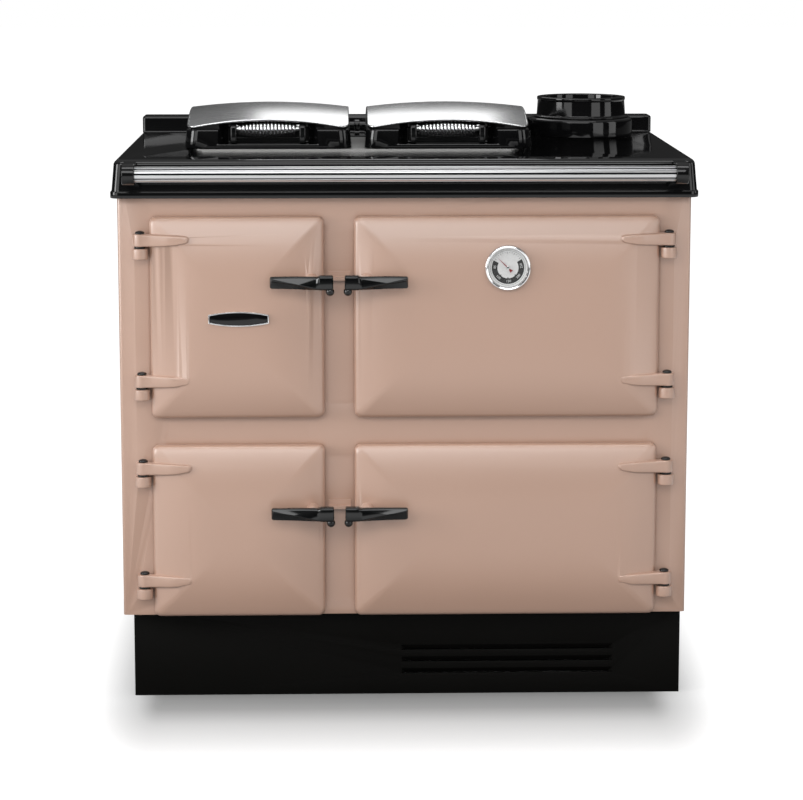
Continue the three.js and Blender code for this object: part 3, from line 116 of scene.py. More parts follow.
def pick(kind, test):        # select the parts of the edited mesh that pass a test
    mesh = bpy.context.edit_object.data
    shape = bmesh.from_edit_mesh(mesh)
    parts = {"VERT": shape.verts, "EDGE": shape.edges, "FACE": shape.faces}[kind]
    bpy.ops.mesh.select_all(action="DESELECT")
    for part in parts:
        if test(part):
            part.select_set(True)
    bmesh.update_edit_mesh(mesh)


def closeUp(piece):          # merge doubles and turn all faces outwards
    with editing(piece):
        selectAll()
        bpy.ops.mesh.remove_doubles(threshold=0.002 * mm)
        bpy.ops.mesh.normals_make_consistent(inside=False)
    return piece


def applyModifier(piece, kind, **settings):
    modifier = piece.modifiers.new(kind.lower(), kind)
    for key, value in settings.items():
        setattr(modifier, key, value)
    makeActive(piece)
    bpy.ops.object.modifier_apply(modifier=modifier.name)
    return piece


def softenEdges(piece, width, segments=3, angle=35):
    return applyModifier(piece, "BEVEL", width=width, segments=segments, limit_method="ANGLE",
                         angle_limit=radians(angle), use_clamp_overlap=True, miter_outer="MITER_ARC")


def smoothShade(piece, angle=38):
    makeActive(piece)
    bpy.ops.object.shade_smooth_by_angle(angle=radians(angle))
    return piece


def trim(piece, width, segments, angle, smooth):     # round the edges, close the mesh and shade it
    softenEdges(piece, width, segments, angle)
    return smoothShade(closeUp(piece), smooth)


def combine(piece, operation, *tools):
    for tool in tools:
        applyModifier(piece, "BOOLEAN", operation=operation, solver="EXACT", object=tool)
        bpy.data.objects.remove(tool)
    return piece


def gather(name, pieces):    # several objects into one
    deselectAll()
    for piece in pieces:
        piece.select_set(True)
    bpy.context.view_layer.objects.active = pieces[0]
    bpy.ops.object.join()
    pieces[0].name = name
    pieces[0].data.name = name
    return pieces[0]


def addBlock(name, low, high):
    low, high = Vector(low), Vector(high)
    bpy.ops.mesh.primitive_cube_add(size=1, location=(low + high) / 2)
    block = bpy.context.active_object
    block.scale = high - low
    return settle(block, name)


def spot(along, u, v, place):
    return Vector({"x": (place, u, v), "y": (u, place, v), "z": (u, v, place)}[along])


# a body that grows ring by ring along an axis from a rounded rectangle
# each ring is (u low, u high, v low, v high, place along the axis)
def growBody(name, rings, along, radius, segments=6, cuts=0):
    u0, u1, v0, v1, place = rings[0]
    turn = {"x": (pi / 2, 0, pi / 2), "y": (pi / 2, 0, 0), "z": (0, 0, 0)}[along]
    middle = spot(along, (u0 + u1) / 2, (v0 + v1) / 2, place)
    bpy.ops.mesh.primitive_plane_add(size=1, location=middle, rotation=turn)
    body = bpy.context.active_object
    body.scale = (u1 - u0, v1 - v0, 1)
    settle(body, name)
    with editing(body, "VERT"):
        selectAll()
        if radius > 0:
            bpy.ops.mesh.bevel(offset=radius, segments=segments, affect="VERTICES")
        if cuts:
            pick("EDGE", lambda edge: edge.calc_length() > 2.5 * radius)
            bpy.ops.mesh.subdivide(number_cuts=cuts)
        bpy.ops.mesh.select_mode(type="FACE")
        selectAll()
        growOn(rings, along)
    return closeUp(body)


def growOn(rings, along):    # extrude the selected face through the rings
    for before, after in zip(rings, rings[1:]):
        old = spot(along, (before[0] + before[1]) / 2, (before[2] + before[3]) / 2, before[4])
        new = spot(along, (after[0] + after[1]) / 2, (after[2] + after[3]) / 2, after[4])
        scaleU = (after[1] - after[0]) / (before[1] - before[0])
        scaleV = (after[3] - after[2]) / (before[3] - before[2])
        bpy.ops.mesh.extrude_region_move(TRANSFORM_OT_translate={"value": new - old})
        bpy.ops.transform.resize(value=spot(along, scaleU, scaleV, 1), center_override=new)


def insetRing(outline, inset, place):
    u0, u1, v0, v1 = outline
    return (u0 + inset, u1 - inset, v0 + inset, v1 - inset, place)


def quarter(steps, start=1):         # angles that part a quarter turn
    return [k / steps * pi / 2 for k in range(start, steps + 1)]


def roundedEdge(outline, edge, top, steps=4, start=0):   # rings that round the edge of a top face
    rings = []
    for angle in quarter(steps, start):
        rings.append(insetRing(outline, edge * (1 - cos(angle)), top - edge * (1 - sin(angle))))
    return rings


def drawLine(name, points, closed=True):     # a chain of edges, drawn point by point
    bpy.ops.mesh.primitive_plane_add(size=1 * mm, location=points[0])
    chain = settle(bpy.context.active_object, name)
    with editing(chain, "VERT"):
        selectAll()
        bpy.ops.mesh.merge(type="CENTER")
        for before, after in zip(points, points[1:]):
            step = Vector(after) - Vector(before)
            bpy.ops.mesh.extrude_vertices_move(TRANSFORM_OT_translate={"value": step})
        if closed:
            first, last = Vector(points[0]), Vector(points[-1])
            pick("VERT", lambda vert: min((vert.co - first).length, (vert.co - last).length) < 0.001 * mm)
            bpy.ops.mesh.edge_face_add()
    return chain


def fillOutline(name, points, depth):        # a flat outline drawn out along a vector
    sheet = drawLine(name, points)
    with editing(sheet, "VERT"):
        selectAll()
        bpy.ops.mesh.edge_face_add()
        bpy.ops.mesh.select_mode(type="FACE")
        selectAll()
        bpy.ops.mesh.extrude_region_move(TRANSFORM_OT_translate={"value": depth})
    return closeUp(sheet)


# a turned body: the profile is a list of (radius, place along the axis)
def turnBody(name, profile, centre, along, steps=48):
    closed = profile[0][0] > 0
    centre = Vector(centre)
    axis = spot(along, 0, 0, 1)
    points = [centre + spot(along, radius, 0, place) for radius, place in profile]
    body = drawLine(name, points, closed)
    with editing(body, "VERT"):
        selectAll()
        bpy.ops.mesh.spin(steps=steps, angle=2 * pi, center=centre, axis=axis)
    return closeUp(body)


def arc(radius, middleRadius, middlePlace, start, end, count=5):     # degrees
    points = []
    for k in range(count + 1):
        angle = radians(start + (end - start) * k / count)
        points.append((middleRadius + radius * cos(angle), middlePlace + radius * sin(angle)))
    return points


def turnRod(name, radius, start, end, centre, along, steps):
    return turnBody(name, [(0, start), (radius, start), (radius, end), (0, end)], centre, along, steps)


def roundedPath(outline, corner, steps):     # points round a rectangle with rounded corners
    u0, u1, v0, v1 = outline
    points = []
    for u, v, start in ((u1 - corner, v1 - corner, 0), (u0 + corner, v1 - corner, 90),
                        (u0 + corner, v0 + corner, 180), (u1 - corner, v0 + corner, 270)):
        for k in range(steps + 1):
            angle = radians(start + k * 90 / steps)
            points.append((u + corner * cos(angle), v + corner * sin(angle)))
    return points


def middleOf(node):
    low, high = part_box(node)
    return (low.x + high.x) / 2, (low.y + high.y) / 2, (low.z + high.z) / 2


def addTube(name, points, radius, sides=4, closed=False):    # a round wire along a path
    curve = bpy.data.curves.new(name, "CURVE")
    curve.dimensions = "3D"
    curve.bevel_depth = radius
    curve.bevel_resolution = sides
    curve.use_fill_caps = not closed
    line = curve.splines.new("POLY")
    line.points.add(len(points) - 1)
    for point, place in zip(line.points, points):
        point.co = (*place, 1)
    line.use_cyclic_u = closed
    tube = bpy.data.objects.new(name, curve)
    bpy.context.collection.objects.link(tube)
    makeActive(tube)
    bpy.ops.object.convert(target="MESH")
    return closeUp(settle(bpy.context.active_object, name))


def finishPiece(piece, body, slot, *nodes, finish=None):
    piece.data.materials.clear()
    piece.data.materials.append(finishes[finish or slot])
    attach(piece, body)
    if nodes:
        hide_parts(*nodes)


# material helpers
class Wire:                  # one value in a node tree, used in plain arithmetic
    def __init__(self, net, socket):
        self.net = net
        self.socket = socket

    def maths(self, operation, first, second):
        return self.net.add("ShaderNodeMath", {"operation": operation}, {0: first, 1: second})

    def __add__(self, other):
        return self.maths("ADD", self, other)

    def __radd__(self, other):
        return self.maths("ADD", other, self)

    def __sub__(self, other):
        return self.maths("SUBTRACT", self, other)

    def __rsub__(self, other):
        return self.maths("SUBTRACT", other, self)

    def __mul__(self, other):
        return self.maths("MULTIPLY", self, other)

    def __rmul__(self, other):
        return self.maths("MULTIPLY", other, self)

    def __truediv__(self, other):
        return self.maths("DIVIDE", self, other)


class Net:                   # the nodes of one material or of the world
    def __init__(self, tree):
        self.tree = tree
        tree.nodes.clear()

    def add(self, kind, settings=None, values=None, output=0):
        node = self.tree.nodes.new(kind)
        for key, value in (settings or {}).items():
            if key == "stops":
                self.setStops(node.color_ramp, value)
            else:
                setattr(node, key, value)
        for key, value in (values or {}).items():
            if isinstance(value, Wire):
                self.tree.links.new(value.socket, node.inputs[key])
            else:
                node.inputs[key].default_value = value
        return Wire(self, node.outputs[output]) if node.outputs else None

    def setStops(self, ramp, stops):
        for place, grey in stops[2:]:
            ramp.elements.new(place)
        for element, (place, grey) in zip(ramp.elements, stops):
            element.position = place
            element.color = (grey, grey, grey, 1)

    def objectPlace(self, scale=(1, 1, 1)):
        place = self.add("ShaderNodeTexCoord", output="Object")
        return self.add("ShaderNodeMapping", None, {"Vector": place, "Scale": scale})

    def noise(self, place, scale, detail=3, roughness=0.5):
        return self.add("ShaderNodeTexNoise", None,
                        {"Vector": place, "Scale": scale, "Detail": detail, "Roughness": roughness}, "Fac")

    def ramp(self, value, *stops):
        return self.add("ShaderNodeValToRGB", {"stops": stops}, {0: value})

    def mixColour(self, factor, first, second):
        return self.add("ShaderNodeMix", {"data_type": "RGBA"}, {0: factor, 6: first, 7: second}, 2)

    def bump(self, height, distance, strength=1.0, under=None):
        values = {"Strength": strength, "Distance": distance, "Height": height}
        if under is not None:
            values["Normal"] = under
        return self.add("ShaderNodeBump", None, values)

    def surface(self, **values):
        shader = self.add("ShaderNodeBsdfPrincipled", None,
                          {key.replace("_", " "): value for key, value in values.items()})
        self.add("ShaderNodeOutputMaterial", None, {"Surface": shader})


def newNet(slot):
    name = toPlainName(slot)
    material = bpy.data.materials.new(name[0].lower() + name[1:])
    material.use_nodes = True
    return material, Net(material.node_tree)


# cloud and grain are (scale, detail) of a noise; the cloud mixes the tones and shifts the roughness,
# which is (least, part of the cloud, part of a drawn grain); the grain lifts the surface by lift
finishSettings = {
    "pink_enamel": {"cloud": (5, 3), "speck": (420, 2),
                    "tones": ((0.429, 0.25935, 0.18525), (0.451, 0.27265, 0.19475)),
                    "roughness": (0.37, 0.06), "ripple": (38, 2), "grain": (900, 2), "lift": (0.02 * mm, 0.5),
                    "more": {"Specular_IOR_Level": 0.8, "Coat_Weight": 1, "Coat_Roughness": 0.38,
                             "Coat_IOR": 1.75}},
    "black_enamel": {"cloud": (9, 3), "tones": ((0.0022, 0.0022, 0.0024), (0.0042, 0.0042, 0.0045)),
                     "roughness": (0.045, 0.03), "ripple": (30, 2), "grain": (700, 2),
                     "lift": (0.01 * mm, 0.4), "more": {"Specular_IOR_Level": 0.42}},
    "plinth_paint": {"cloud": (6, 2), "tones": ((0.0026, 0.0025, 0.0021), (0.004, 0.0038, 0.0034)),
                     "roughness": (0.36, 0.06), "grain": (1400, 3), "lift": (0.05 * mm, 0.5),
                     "more": {"Specular_IOR_Level": 0.07}},
    "black_glaze": {"cloud": (30, 2), "tones": ((0.0022, 0.0024, 0.0026), (0.0045, 0.0048, 0.005)),
                    "roughness": (0.07, 0.04), "grain": (260, 2), "lift": (0.03 * mm, 0.35),
                    "more": {"Specular_IOR_Level": 0.5}},
    "liner_board": {"cloud": (16, 4), "tones": ((0.2, 0.2, 0.195), (0.34, 0.34, 0.33)),
                    "roughness": (0.36, 0.15), "grain": (700, 2), "lift": (0.06 * mm, 0.4),
                    "more": {"Metallic": 0.75}},
    "brass": {"cloud": (35, 4), "tones": ((0.4, 0.27, 0.09), (0.62, 0.46, 0.2)), "roughness": (0.25, 0.2),
              "grain": (800, 2), "lift": (0.03 * mm, 0.4), "more": {"Metallic": 1.0}},
    "bright_steel": {"cloud": (60, 3), "tones": ((0.72, 0.725, 0.73), (0.84, 0.845, 0.85)),
                     "roughness": (0.07, 0.06), "more": {"Metallic": 1.0}},
    "machined_iron": {"cloud": (10, 4), "tones": ((0.16, 0.16, 0.158), (0.28, 0.278, 0.27)),
                      "roughness": (0.24, 0.12, 0.08), "drawn": (1400, 12, 1), "lift": (0.02 * mm, 0.5),
                      "more": {"Metallic": 0.95}},                   # grinding lines, front to back
    "brushed_steel": {"cloud": (7, 2), "tones": ((0.6, 0.605, 0.61), (0.78, 0.785, 0.79)), "share": 0.6,
                      "roughness": (0.21, 0.05, 0.05), "drawn": (7, 1900, 7), "lift": (0.01 * mm, 0.35),
                      "more": {"Metallic": 1.0}},                    # brushed from side to side
    # the flutes tone of the satin aluminium is near-black painted shade for the rail's grooves
    "satin_aluminium": {"cloud": (9, 2), "tones": ((0.5, 0.505, 0.51), (0.7, 0.705, 0.71)), "share": 1,
                        "roughness": (0.24, 0.06, 0.06), "drawn": (5, 2200, 2200), "lift": (0.01 * mm, 0.4),
                        "more": {"Metallic": 1.0}, "flutes": (0.012, 0.012, 0.013)},
    "dial_white": {"cloud": (300, 3), "tones": ((0.66, 0.66, 0.655), (0.8, 0.8, 0.795)),
                   "roughness": (0.42, 0.1)},
    "dial_black": {"cloud": (400, 2), "tones": ((0.004, 0.004, 0.004), (0.012, 0.012, 0.012)),
                   "roughness": (0.45, 0.1)},
    "needle_red": {"cloud": (500, 2), "tones": ((0.2, 0.006, 0.012), (0.34, 0.012, 0.02)),
                   "roughness": (0.3, 0.1)},
}
speckShare = 0.3
rippleLift = (0.12 * mm, 0.3)        # slow waves of a casting


def makeFinish(slot, s):
    material, net = newNet(slot)
    place = net.objectPlace()
    cloud = net.noise(place, *s["cloud"])
    mixed = cloud
    if "speck" in s:
        mixed = cloud * (1 - speckShare) + net.noise(place, *s["speck"]) * speckShare
    if "drawn" in s:
        grain = net.noise(net.objectPlace(s["drawn"]), 1, 2)
    elif "grain" in s:
        grain = net.noise(place, *s["grain"])
    if "share" in s:                 # how much of the grain shows in the tone
        mixed = cloud * (1 - s["share"]) + grain * s["share"]
    dark, light = s["tones"]
    tone = net.mixColour(mixed, (*dark, 1), (*light, 1))
    # painted shade: the rail's grooves take the near-black flutes tone
    if "flutes" in s:
        tone = net.mixColour(grooveShadeMask(net), (*s["flutes"], 1), tone)
    roughness = cloud * s["roughness"][1] + s["roughness"][0]
    if "drawn" in s:
        roughness = roughness + grain * s["roughness"][2]
    more = dict(s.get("more", {}))
    if "lift" in s:
        under = net.bump(net.noise(place, *s["ripple"]), *rippleLift) if "ripple" in s else None
        more["Normal"] = net.bump(grain, *s["lift"], under)
    net.surface(Base_Color=tone, Roughness=roughness, **more)
    return material


def grooveShadeMask(net):        # 0 in the rail's grooves and 1 on its lands: the mask of the painted shade in the grooves
    low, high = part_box("handrail")
    middle = (0, -(low.y + high.y) / 2, -(low.z + high.z) / 2)
    depth = 1.4 * mm
    across = net.add("ShaderNodeMapping", None, {"Vector": net.objectPlace((0, 1, 1)), "Location": middle})
    fromAxis = net.add("ShaderNodeVectorMath", {"operation": "LENGTH"}, {0: across}, "Value")
    height = (fromAxis - ((high.z - low.z) / 2 - depth)) / (1 * mm)
    return net.ramp(height, (0.0, 0.0), (1.0, 1.0))


def makeGreyEnamel():
    material, net = newNet("grey_enamel")
    place = net.objectPlace()
    speckle = net.ramp(net.noise(place, 520, 2), (0.66, 0), (0.7, 1))
    cloud = net.noise(place, 12, 3)
    dark = net.mixColour(cloud, (0.018, 0.02, 0.026, 1), (0.03, 0.033, 0.04, 1))
    tone = net.mixColour(speckle * 0.55, dark, (0.42, 0.44, 0.47, 1))
    net.surface(Base_Color=tone, Roughness=cloud * 0.12 + 0.24, Coat_Weight=0.3,
                Normal=net.bump(net.noise(place, 300, 2), 0.05 * mm, 0.4))
    return material


def makeCastIron():
    material, net = newNet("cast_iron")
    place = net.objectPlace()
    sand = net.noise(place, 850, 4, 0.65)
    lumps = net.noise(place, 90, 3)
    rust = net.ramp(net.noise(place, 14, 5, 0.6), (0.52, 0), (0.72, 1))
    iron = net.mixColour(lumps, (0.035, 0.035, 0.037, 1), (0.075, 0.074, 0.072, 1))
    tone = net.mixColour(rust * 0.3, iron, (0.12, 0.06, 0.03, 1))
    net.surface(Base_Color=tone, Metallic=0.55 - rust * 0.3, Roughness=lumps * 0.16 + 0.52,
                Normal=net.bump(sand, 0.25 * mm, 0.6, net.bump(lumps, 0.5 * mm, 0.4)))
    return material


def makeGalvanised():
    material, net = newNet("galvanised")
    place = net.objectPlace()
    spangle = net.add("ShaderNodeTexVoronoi", {"feature": "F1"}, {"Vector": place, "Scale": 90}, "Color")
    flake = net.add("ShaderNodeSeparateColor", None, {0: spangle})
    tone = net.mixColour(flake, (0.26, 0.275, 0.285, 1), (0.44, 0.455, 0.46, 1))
    net.surface(Base_Color=tone, Metallic=0.85, Roughness=flake * 0.2 + 0.34)
    return material


def makeGlassRope():
    material, net = newNet("glass_rope")
    place = net.objectPlace()
    x, y, z = [net.add("ShaderNodeSeparateXYZ", None, {0: place}, axis) for axis in range(3)]
    lays = 1400                      # radians per metre along the rope and across it
    run, across = (x + z) * lays, y * lays
    leftLay, rightLay = [net.add("ShaderNodeMath", {"operation": "SINE"}, {0: turn})
                         for turn in (run + across, run - across)]
    braid = leftLay * rightLay * 0.5 + 0.5
    fibre = net.noise(place, 1800, 3)
    # painted shade: the tone follows the braid's height, so the rope is darker in the braid's hollows
    tone = net.mixColour(braid * 0.6 + fibre * 0.4, (0.42, 0.4, 0.33, 1), (0.78, 0.76, 0.68, 1))
    net.surface(Base_Color=tone, Roughness=0.92, Specular_IOR_Level=0.2,
                Normal=net.bump(braid, 0.4 * mm, 0.8, net.bump(fibre, 0.1 * mm, 0.5)))
    return material


def makeClearGlass():
    material, net = newNet("clear_glass")
    smear = net.noise(net.objectPlace(), 45, 3)
    net.surface(Base_Color=(0.2, 0.21, 0.21, 1), Roughness=smear * 0.03 + 0.01, Alpha=0.06,
                Specular_IOR_Level=0.6)
    return material


finishes = {slot: makeFinish(slot, s) for slot, s in finishSettings.items()}
finishes["grey_enamel"] = makeGreyEnamel()
finishes["cast_iron"] = makeCastIron()
finishes["galvanised"] = makeGalvanised()
finishes["glass_rope"] = makeGlassRope()
finishes["clear_glass"] = makeClearGlass()
print("materials made")

# every node of the frame gets its finish; those with finer pieces are replaced below
for part in frame["record"]["subparts"]:
    node = frame["nodes"][part["node"]]
    node.data.materials.clear()
    node.data.materials.append(finishes[part["material_slot"]])


# doors: where each one lies, read off the frame
doorSettings = {
    "eyeToEdge": 26.5 * mm,      # from the outside of the hinge eye to the door's edge
    "rim": 14.5 * mm,
    "edge": 6 * mm,
    "crown": 20 * mm,
    "slopeRun": 125 * mm,
    "slopeFade": 2.6,            # the slope levels out gently, with no line where it ends
    "corner": 11 * mm,
    "lap": 18 * mm,              # over the front plate
    "eyeRadius": 11.5 * mm,
    "armHeight": 20 * mm,
    "armLength": 79 * mm,
    "armProud": 11 * mm,
    "capRoom": 5.3 * mm,         # from the pin's top to the eye
    "eyeEdge": 1.6 * mm,
    "strapRadius": 3.2 * mm,
    "pinAhead": 12 * mm,         # pin axis, ahead of the door's rear
    "postRadius": 10 * mm,
    "postInset": 20 * mm,
    "pivotDrop": 12 * mm,        # from the handle's top to the post
}


def doorPlace(name):
    s = doorSettings
    low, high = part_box(f"door_{name}")
    if "left" in name:
        side, free, hinged, outline = -1, high.x, low.x, (low.x + s["eyeToEdge"], high.x, low.z, high.z)
    else:
        side, free, hinged, outline = 1, low.x, high.x, (low.x, high.x - s["eyeToEdge"], low.z, high.z)
    return {"name": name, "title": toPlainName(name), "side": side, "outline": outline, "free": free,
            "rear": high.y, "pinX": hinged - side * s["eyeRadius"], "pinY": high.y - s["pinAhead"],
            "arms": [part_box(f"hinge_pin_{name}_{end}") for end in ("top", "bottom")]}


doors = [doorPlace(name) for name in doorNames]


def doorRise(inset):
    share = min(1, inset / doorSettings["slopeRun"])
    return doorSettings["crown"] * (1 - (1 - share) ** doorSettings["slopeFade"])


def doorSkin(door):
    s = doorSettings
    face = door["rear"] - s["rim"]
    shoulder = face + s["edge"]
    rings = [insetRing(door["outline"], 1 * mm, door["rear"]),
             insetRing(door["outline"], 0, door["rear"] - 1 * mm),
             insetRing(door["outline"], 0, shoulder)]
    for angle in quarter(6):
        inset = s["edge"] * (1 - cos(angle))
        rings.append(insetRing(door["outline"], inset, shoulder - (s["edge"] + doorRise(inset)) * sin(angle)))
    for k in range(1, 19):
        inset = s["edge"] + (s["slopeRun"] - s["edge"]) * k / 18
        rings.append(insetRing(door["outline"], inset, face - doorRise(inset)))
    return growBody(f"door{door['title']}", rings, "y", s["corner"], 6)


def hingeArm(door, pin):     # eye on the pin and a strap that runs out into the door's slope
    s = doorSettings
    side = door["side"]
    top = pin[1].z - s["capRoom"]
    low = top - s["armHeight"]
    middle = (top + low) / 2
    edge = s["eyeEdge"]
    eye = turnBody("eye", [(0, low)] + arc(edge, s["eyeRadius"] - edge, low + edge, -90, 0)
                   + arc(edge, s["eyeRadius"] - edge, top - edge, 0, 90) + [(0, top)],
                   (door["pinX"], door["pinY"], 0), "z", 40)
    face = door["rear"] - s["rim"]
    tip = face - doorRise(s["armLength"] - 15 * mm)
    front = door["pinY"] - s["armProud"]
    back = face + 7 * mm
    # share of the arm's length, its front, its height and how far it lifts
    shares = [(0, front, 1, 0), (0.25, front - 2 * mm, 1, 0), (0.5, front - 6.5 * mm, 0.97, 0.3),
              (0.7, (front + tip) / 2 - 6 * mm, 0.88, 0.9), (0.85, tip + 1 * mm, 0.76, 1.6),
              (0.93, tip - 0.6 * mm, 0.66, 2.2), (0.98, tip + 0.5 * mm, 0.5, 3), (1.0, tip + 2 * mm, 0.3, 4)]
    rings = []
    for share, nose, height, lift in shares:
        half = s["armHeight"] / 2 * height
        rings.append((nose, back, middle - half + lift * mm, middle + half + lift * mm * 0.4,
                      door["pinX"] - side * s["armLength"] * share))
    return eye, growBody("strap", rings, "x", s["strapRadius"], 4)


def makeDoor(door):
    s = doorSettings
    skin = doorSkin(door)
    parts = []
    for pin in door["arms"]:
        parts += hingeArm(door, pin)
    x = door["free"] + door["side"] * s["postInset"]
    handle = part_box(f"door_handle_{door['name']}")
    pivot = handle[1].z - s["pivotDrop"]
    rear = door["rear"] - s["rim"]
    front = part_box(f"door_{door['name']}")[0].y
    post = turnBody("post", [(0, rear)] + arc(3 * mm, s["postRadius"] + 3 * mm, rear - 6 * mm, 90, 180)
                    + arc(1 * mm, s["postRadius"] - 1 * mm, front + 1 * mm, 0, -90) + [(0, front)],
                    (x, 0, pivot), "y", 40)
    parts.append(post)
    combine(skin, "UNION", *parts)
    trim(skin, 1.2 * mm, 3, 32, 40)
    finishPiece(skin, f"door_{door['name']}", "pink_enamel",
                       f"door_{door['name']}")


for door in doors:
    makeDoor(door)
print("doors modelled")


# hinge pins: domed cap, pin and washer
pinSettings = {"radius": 4.5 * mm, "capRadius": 7.8 * mm, "capHeight": 5 * mm, "capFoot": 1.2 * mm,
               "grip": 20.6 * mm, "washerRadius": 9.5 * mm, "washer": 3 * mm, "washerEdge": 0.7 * mm}


def makePin(door, end):
    s = pinSettings
    low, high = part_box(f"hinge_pin_{door['name']}_{end}")
    capLow = high.z - s["capHeight"]
    washerTop = capLow - s["grip"]
    washerLow = washerTop - s["washer"]
    edge = s["washerEdge"]
    profile = [(0, low.z), (s["radius"], low.z), (s["radius"], washerLow)]
    profile += arc(edge, s["washerRadius"] - edge, washerLow + edge, -90, 0, 3)
    profile += arc(edge, s["washerRadius"] - edge, washerTop - edge, 0, 90, 3)
    profile += [(s["radius"], washerTop), (s["radius"], capLow), (s["capRadius"] - 0.4 * mm, capLow)]
    dome = s["capHeight"] - s["capFoot"]
    profile += [(s["capRadius"] * cos(radians(a)), capLow + s["capFoot"] + dome * sin(radians(a)))
                for a in (0, 18, 36, 54, 72)] + [(0, high.z)]
    pin = turnBody(f"pin{door['title']}{toPlainName(end)}", profile,
                   (door["pinX"], door["pinY"], 0), "z", 32)
    smoothShade(pin)
    finishPiece(pin, "range", "black_glaze", f"hinge_pin_{door['name']}_{end}")


for door in doors:
    for end in ("top", "bottom"):
        makePin(door, end)


# front plate with its four apertures and the hinge knuckles
frontSettings = {"thickness": 12 * mm, "corner": 5 * mm, "knuckleRadius": 13.2 * mm,
                 "knuckleHeight": 17.5 * mm, "knuckleEdge": 2 * mm,
                 "washerRoom": 3.6 * mm, "webHalf": 10.5 * mm}


def makeKnuckle(door, pin):
    s = frontSettings
    top = pin[1].z - doorSettings["capRoom"] - doorSettings["armHeight"] - s["washerRoom"]
    low = top - s["knuckleHeight"]
    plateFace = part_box("front_plate")[1].y - s["thickness"]
    radius, edge = s["knuckleRadius"], s["knuckleEdge"]
    profile = [(0, low)] + arc(edge, radius - edge, low + edge, -90, 0)
    profile += arc(1 * mm, radius - 1 * mm, top - 1 * mm, 0, 90) + [(0, top)]
    barrel = turnBody("barrel", profile, (door["pinX"], door["pinY"], 0), "z", 48)
    web = [(door["pinX"] - s["webHalf"], door["pinX"] + s["webHalf"], door["pinY"], plateFace + 1 * mm, place)
           for place in (low + 0.6 * mm, top - 0.3 * mm)]
    return barrel, growBody("web", web, "z", 0)


def makeFrontPlate():
    s = frontSettings
    low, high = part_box("front_plate")
    face = high.y - s["thickness"]
    plate = addBlock("frontPlate", (low.x, face, low.z), (high.x, high.y, high.z))
    with editing(plate, "EDGE"):
        pick("EDGE", lambda edge: abs(edge.verts[0].co.z - edge.verts[1].co.z) > 0.1
             and max(v.co.y for v in edge.verts) < face + 1 * mm)
        bpy.ops.mesh.bevel(offset=s["corner"], segments=6)
    for door in doors:
        hole = [insetRing(door["outline"], doorSettings["lap"], place)
                for place in (high.y + 1 * mm, face - 1 * mm)]
        combine(plate, "DIFFERENCE", growBody("hole", hole, "y", doorSettings["corner"], 6))
    parts = []
    for door in doors:
        for pin in door["arms"]:
            parts += makeKnuckle(door, pin)
    combine(plate, "UNION", *parts)
    trim(plate, 0.8 * mm, 2, 40, 38)
    finishPiece(plate, "range", "pink_enamel", "front_plate")


makeFrontPlate()
print("front plate and hinges modelled")


# door handles: ridged lever, boss over the stile, spindle, latch tail and its roller end
handleSettings = {"thickness": 17 * mm, "leverHeight": 21 * mm, "tipHeight": 19 * mm, "bossHeight": 24 * mm,
                  "overhang": 15 * mm, "spindle": 5 * mm, "tail": 3.5 * mm,
                  "roller": 7 * mm, "tailOffset": 10 * mm, "tailDrop": 8 * mm, "rollerDrop": 14.5 * mm,
                  "ridge": (0.32, 0.12, -0.2)}


def makeHandle(door):
    s = handleSettings
    low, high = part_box(f"door_handle_{door['name']}")
    side = door["side"]
    z = high.z - s["bossHeight"] / 2
    front, back = low.y, low.y + s["thickness"]
    free = door["free"]
    at = lambda inward: free + side * inward
    tipInward = abs((high.x if side > 0 else low.x) - free)
    thin = s["thickness"] * 0.6

    def ring(inward, height, thickness, lift=0):
        half = height / 2
        return (back - thickness, back, z - half + lift, z + half + lift, at(inward))

    rings = [ring(tipInward, s["tipHeight"] - 4 * mm, thin * 0.8),
             ring(tipInward - 1 * mm, s["tipHeight"] - 1.5 * mm, thin),
             ring(tipInward - 3 * mm, s["tipHeight"], s["thickness"] * 0.74),
             ring(tipInward * 0.6, s["tipHeight"] + 1 * mm, s["thickness"] * 0.82),
             ring(12 * mm, s["leverHeight"], s["thickness"] * 0.92, -1 * mm),
             ring(8.5 * mm, s["leverHeight"] + 1 * mm, s["thickness"] * 0.96, -0.5 * mm),
             ring(6 * mm, s["bossHeight"], s["thickness"]),
             ring(-s["overhang"] + 1.5 * mm, s["bossHeight"], s["thickness"]),
             ring(-s["overhang"], s["bossHeight"] - 3 * mm, s["thickness"] - 1.5 * mm)]
    lever = growBody(f"handle{door['title']}", rings, "x", 2.6 * mm, 4)
    with editing(lever, "VERT"):     # the front slopes back above and below a ridge that falls to the boss
        for ringNow, share in zip(rings[2:5], s["ridge"]):
            lift = share * s["leverHeight"] + 4 * mm
            for upward, step in ((1, (0, 3.2 * mm, 0)), (-1, (0, 0.6 * mm, lift))):
                pick("VERT", lambda v: abs(v.co.x - ringNow[4]) < 0.01 * mm and v.co.y < front + 7 * mm
                     and (v.co.z - z) * upward > 4 * mm)
                bpy.ops.transform.translate(value=step)
    pivot = at(doorSettings["postInset"])
    spindle = turnRod("spindle", s["spindle"], back - 2 * mm, high.y - 8 * mm, (pivot, 0, z), "y", 24)
    tailX = at(-s["tailOffset"])
    profile = [(0, back - 2 * mm), (s["tail"], back - 2 * mm), (s["tail"], high.y - 0.6 * mm),
               (s["tail"] - 0.6 * mm, high.y), (0, high.y)]
    tail = turnBody("tail", profile, (tailX, 0, z - s["tailDrop"]), "y", 20)
    middle = (front + back) / 2
    ball = [(s["roller"] * cos(radians(a)) if abs(a) < 90 else 0, middle + s["roller"] * sin(radians(a)))
            for a in range(-90, 91, 15)]
    roller = turnBody("roller", ball, (tailX, 0, z - s["rollerDrop"]), "y", 28)
    neck = turnBody("neck", [(0, z - s["rollerDrop"]), (5 * mm, z - s["rollerDrop"]), (5.4 * mm, z - 4 * mm),
                             (0, z - 4 * mm)], (tailX, middle, 0), "z", 20)
    combine(lever, "UNION", spindle, tail, roller, neck)
    trim(lever, 1.1 * mm, 3, 30, 42)
    finishPiece(lever, f"handle_{door['name']}", "black_glaze", f"door_handle_{door['name']}")


